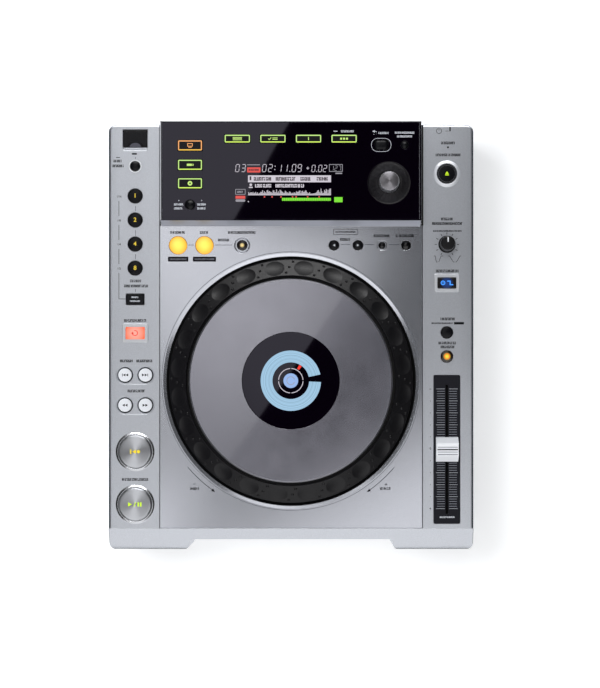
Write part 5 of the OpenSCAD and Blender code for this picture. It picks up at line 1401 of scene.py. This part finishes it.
def rear_marks():
    """Colours, metal and marks of the jacks, the inlet and the power key at the rear."""
    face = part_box("base_chassis")[1].y / MM - PANEL_INSET
    shell = SHELLS["rear_jacks"]
    steel = FINISHES["steel_shaft"]
    barrels = [(JACKS[name], JACK_Z) for name in ("phono_white", "phono_red", "digital")]
    pins = [(INLET_X + side * 4.3, JACK_Z) for side in (-1, 1)]
    # The barrels round their holes, the shell of the square socket, and the inlet's pins.
    polish(shell, lambda x, y, z: y > face + 0.7 and x < -76
           and min(math.dist((x, z), at) for at in barrels) > 3.0, steel)
    polish(shell, lambda x, y, z: abs(x - JACKS["usb_b"]) < 7 and y > face - 9
           and (abs(x - JACKS["usb_b"]) > 4.2 or abs(z - JACK_Z) > 3.8), FINISHES["steel_sheet"])
    polish(shell, lambda x, y, z: 1.0 < min(math.dist((x, z), at) for at in pins) < 1.3, steel)
    for name, colour in (("phono_white", (226, 226, 224)), ("phono_red", (196, 30, 34)),
                         ("digital", (214, 120, 30)), ("control", (30, 30, 32))):
        at = (JACKS[name], JACK_Z)
        inner, outer = (3.1, 4.6) if name == "control" else (4.25, 5.9)
        ring = Print(face, 0.9, standing=True).ring(at, inner, outer)
        ring.made(name + "_jack_ring", finish(name + "_jack_plastic", colour, roughness=0.4,
                                              mottle=(200, 0.06)), "jack_plastic")
    page = Print(face, 0.05, standing=True)
    for x in (*JACKS.values(), INLET_X):
        page.word(x - 6, x + 6, JACK_Z + 12, 1.9)
    page.path([(-125, 45), (-125, 43.6), (-97, 43.6), (-97, 45)], 0.35)
    page.outline((-111, 52.5), (34, 4.6), 0.5, 0.3).word(-126, -96, 52.5, 2.2)
    page.made("rear_labels", PALE_INK_AND_HIGHLIGHT, "steel_sheet")
    low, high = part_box("power_button")
    middle = [(low[axis] + high[axis]) / 2 / MM for axis in (0, 2)]
    sign = Print(high.y / MM, 0.05, middle, standing=True).ring((0, 0), 1.6, 2.0, 120, 300)
    sign.bar(-0.2, 0.2, 0.8, 2.5)
    sign.made("power_button_sign", PALE_INK_AND_HIGHLIGHT, "black_key", "power_button")


# Kept in this order, as the labels draw their strokes from one row of random numbers.
for build in (rear_marks, column_left, gap_shades_and_side_line, eject_collar, direction_sign, search_signs,
              transport_signs, column_right, key_signs_right, fader_scale, speed_knob, selector,
              deck_labels, call_signs, window_labels, key_lines, screen_picture, jog_picture,
              jog_ring_body, jog_studs):
    build()


# ------------------------------------------------------------ studio and camera

# Height of the picture in pixels, which the shifts of the lens are shares of.
PICTURE_HEIGHT = 688


def shown(tree):
    """1 for what the camera sees straight, in a reflection or through glass, and 0 for light."""
    rays = place(tree, "ShaderNodeLightPath").outputs
    return work(tree, "MAXIMUM", rays["Is Camera Ray"],
                work(tree, "MAXIMUM", rays["Is Glossy Ray"], rays["Is Transmission Ray"]))


def studio_floor():
    """Pale floor under the feet, which glows for the camera and keeps a soft shadow."""
    mesh = bpy.data.meshes.new("studio_floor")
    half = 6
    mesh.from_pydata([(-half, -half, 0), (half, -half, 0), (half, half, 0), (-half, half, 0)],
                     [], [(0, 1, 2, 3)])
    floor = bpy.data.objects.new("studio_floor", mesh)
    scene.collection.objects.link(floor)
    look = bpy.data.materials.new("studio_floor")
    look.use_nodes = True
    tree = look.node_tree
    paper = tree.nodes["Principled BSDF"]
    paper.inputs["Base Color"].default_value = (0.95, 0.95, 0.95, 1)
    paper.inputs["Roughness"].default_value = 0.9
    paper.inputs["Emission Color"].default_value = (1, 1, 1, 1)
    lifted = work(tree, "MULTIPLY", shown(tree), 0.42)
    tree.links.new(lifted, paper.inputs["Emission Strength"])
    mesh.materials.append(look)


def studio_world():
    """White behind the player for the camera, its metal and its glass, and pale light."""
    world = bpy.data.worlds.new("studio")
    scene.world = world
    world.use_nodes = True
    tree = world.node_tree
    tree.nodes.clear()
    seen = shown(tree)
    # 1 where it is seen and 0.9 where it only lights.
    strength = work(tree, "MULTIPLY_ADD", seen, 0.1, 0.9)
    tint = place(tree, "ShaderNodeMix", {"Factor": seen, 6: (0.86, 0.93, 1, 1), 7: (1, 1, 1, 1)},
                 data_type="RGBA").outputs[2]
    back = place(tree, "ShaderNodeBackground", {0: tint, 1: strength})
    tree.links.new(back.outputs[0], place(tree, "ShaderNodeOutputWorld").inputs[0])


def card(name, corners, level, fade=None, height=2000, lights=True):
    """A studio card, lit or dark, given by its corners in millimetres, overhead or standing.

    fade (way x, way y, start, end, low) lets its light grow from low along a direction, as a
    softbox does. A card that doesn't light is seen in gloss alone.
    """
    mesh = bpy.data.meshes.new(name)
    mesh.from_pydata([(x * MM, y * MM, (z[0] if z else height) * MM) for x, y, *z in corners],
                     [], [tuple(range(len(corners)))])
    made = bpy.data.objects.new(name, mesh)
    scene.collection.objects.link(made)
    look = bpy.data.materials.new(name)
    look.use_nodes = True
    tree = look.node_tree
    tree.nodes.clear()
    strength = level
    if fade:
        along = vector_work(tree, "DOT_PRODUCT", here(tree), (*fade[:2], 0)).outputs["Value"]
        strength = place(tree, "ShaderNodeMapRange",
                         {0: along, 1: fade[2] * MM, 2: fade[3] * MM, 3: fade[4], 4: level},
                         interpolation_type="SMOOTHSTEP").outputs[0]
    glow = place(tree, "ShaderNodeEmission", {0: (1, 1, 1, 1), 1: strength})
    tree.links.new(glow.outputs[0], place(tree, "ShaderNodeOutputMaterial").inputs[0])
    mesh.materials.append(look)
    made.visible_camera = False
    made.visible_diffuse = made.visible_shadow = lights


def key_lamp():
    """A square soft lamp from the left, which gloss and metal don't show."""
    light = bpy.data.lights.new("key_lamp", "AREA")
    light.size = 1.0
    light.energy = 26
    light.color = (0.93, 0.96, 1)
    made = bpy.data.objects.new("key_lamp", light)
    made.location = (-0.8, 0.35, 1.85)
    aim = Vector((0, 0, 0.05)) - made.location
    made.rotation_euler = aim.to_track_quat("-Z", "Y").to_euler()
    made.visible_glossy = False
    scene.collection.objects.link(made)


def overhead_camera():
    """Camera that looks straight down, off the middle, with its picture shifted back."""
    camera = bpy.data.cameras.new("overhead_camera")
    camera.lens = 87.69
    camera.sensor_width = 36
    camera.shift_x = -20 / PICTURE_HEIGHT
    camera.shift_y = 71 / PICTURE_HEIGHT
    view = bpy.data.objects.new("overhead_camera", camera)
    view.location = (0.0242, -0.06505, 1.4795)
    scene.collection.objects.link(view)
    scene.camera = view


studio_floor()
studio_world()
# Bright cards overhead, which the silver mirrors; their fades and the gaps between them give
# its darker parts. The ceiling over them and the flags round them are nearly black.
card("left_card", [(-650, -150), (-151, -150), (160, 300.2), (-650, 300.2)], 1.1,
     (0.75, 0.66, -330, -40, 0.3))
card("rear_left_card", [(-650, 300.2), (-155, 300.2), (183, 900), (-650, 900)], 1.2)
card("front_left_card", [(-650, -150), (-650, -480), (-1300, -480), (-1300, -900),
                         (-670.3, -900), (-151, -150)], 1.35, (0, -1, 110, 300, 0.3))
card("front_card", [(160, 300.2), (280, 300.2), (280, -60), (600, -60), (600, -330),
                    (1300, -330), (1300, -4000), (-1300, -4000), (-1300, -900),
                    (-670.3, -900)], 1.15, (0.51, -0.86, 90, 330, 0))
card("rear_right_card", [(-155, 300.2), (300, 300.2), (480, 1100), (-700, 1100), (-700, 900),
                         (183, 900)], 1.0, (0.8, 0.6, 470, 620, 0))
card("rear_strip_card", [(-1300, 2200), (1300, 2200), (1300, 3400), (-1300, 3400)], 12.0,
     lights=False)
card("front_strip_card", [(-500, -1250), (500, -1250), (500, -750), (-500, -750)], 1.5,
     height=1980)
card("rear_bar_card", [(-420, 1000), (420, 1000), (420, 1650), (-420, 1650)], 1.5,
     height=1980, lights=False)
card("dark_ceiling", [(-4700, -4700), (4700, -4700), (4700, 4700), (-4700, 4700)], 0.03,
     height=2250)
for side, name in ((-1, "left_flag"), (1, "right_flag")):
    card(name, [(side * 1300, y, z) for y, z in ((-1600, 0), (1600, 0), (1600, 1950),
                                                 (-1600, 1950))], 0.02, lights=False)
card("front_flag", [(-1300, -1600, 0), (1300, -1600, 0), (1300, -1600, 110),
                    (-1300, -1600, 110)], 0.02, lights=False)
key_lamp()
overhead_camera()
scene.view_settings.view_transform = "Standard"
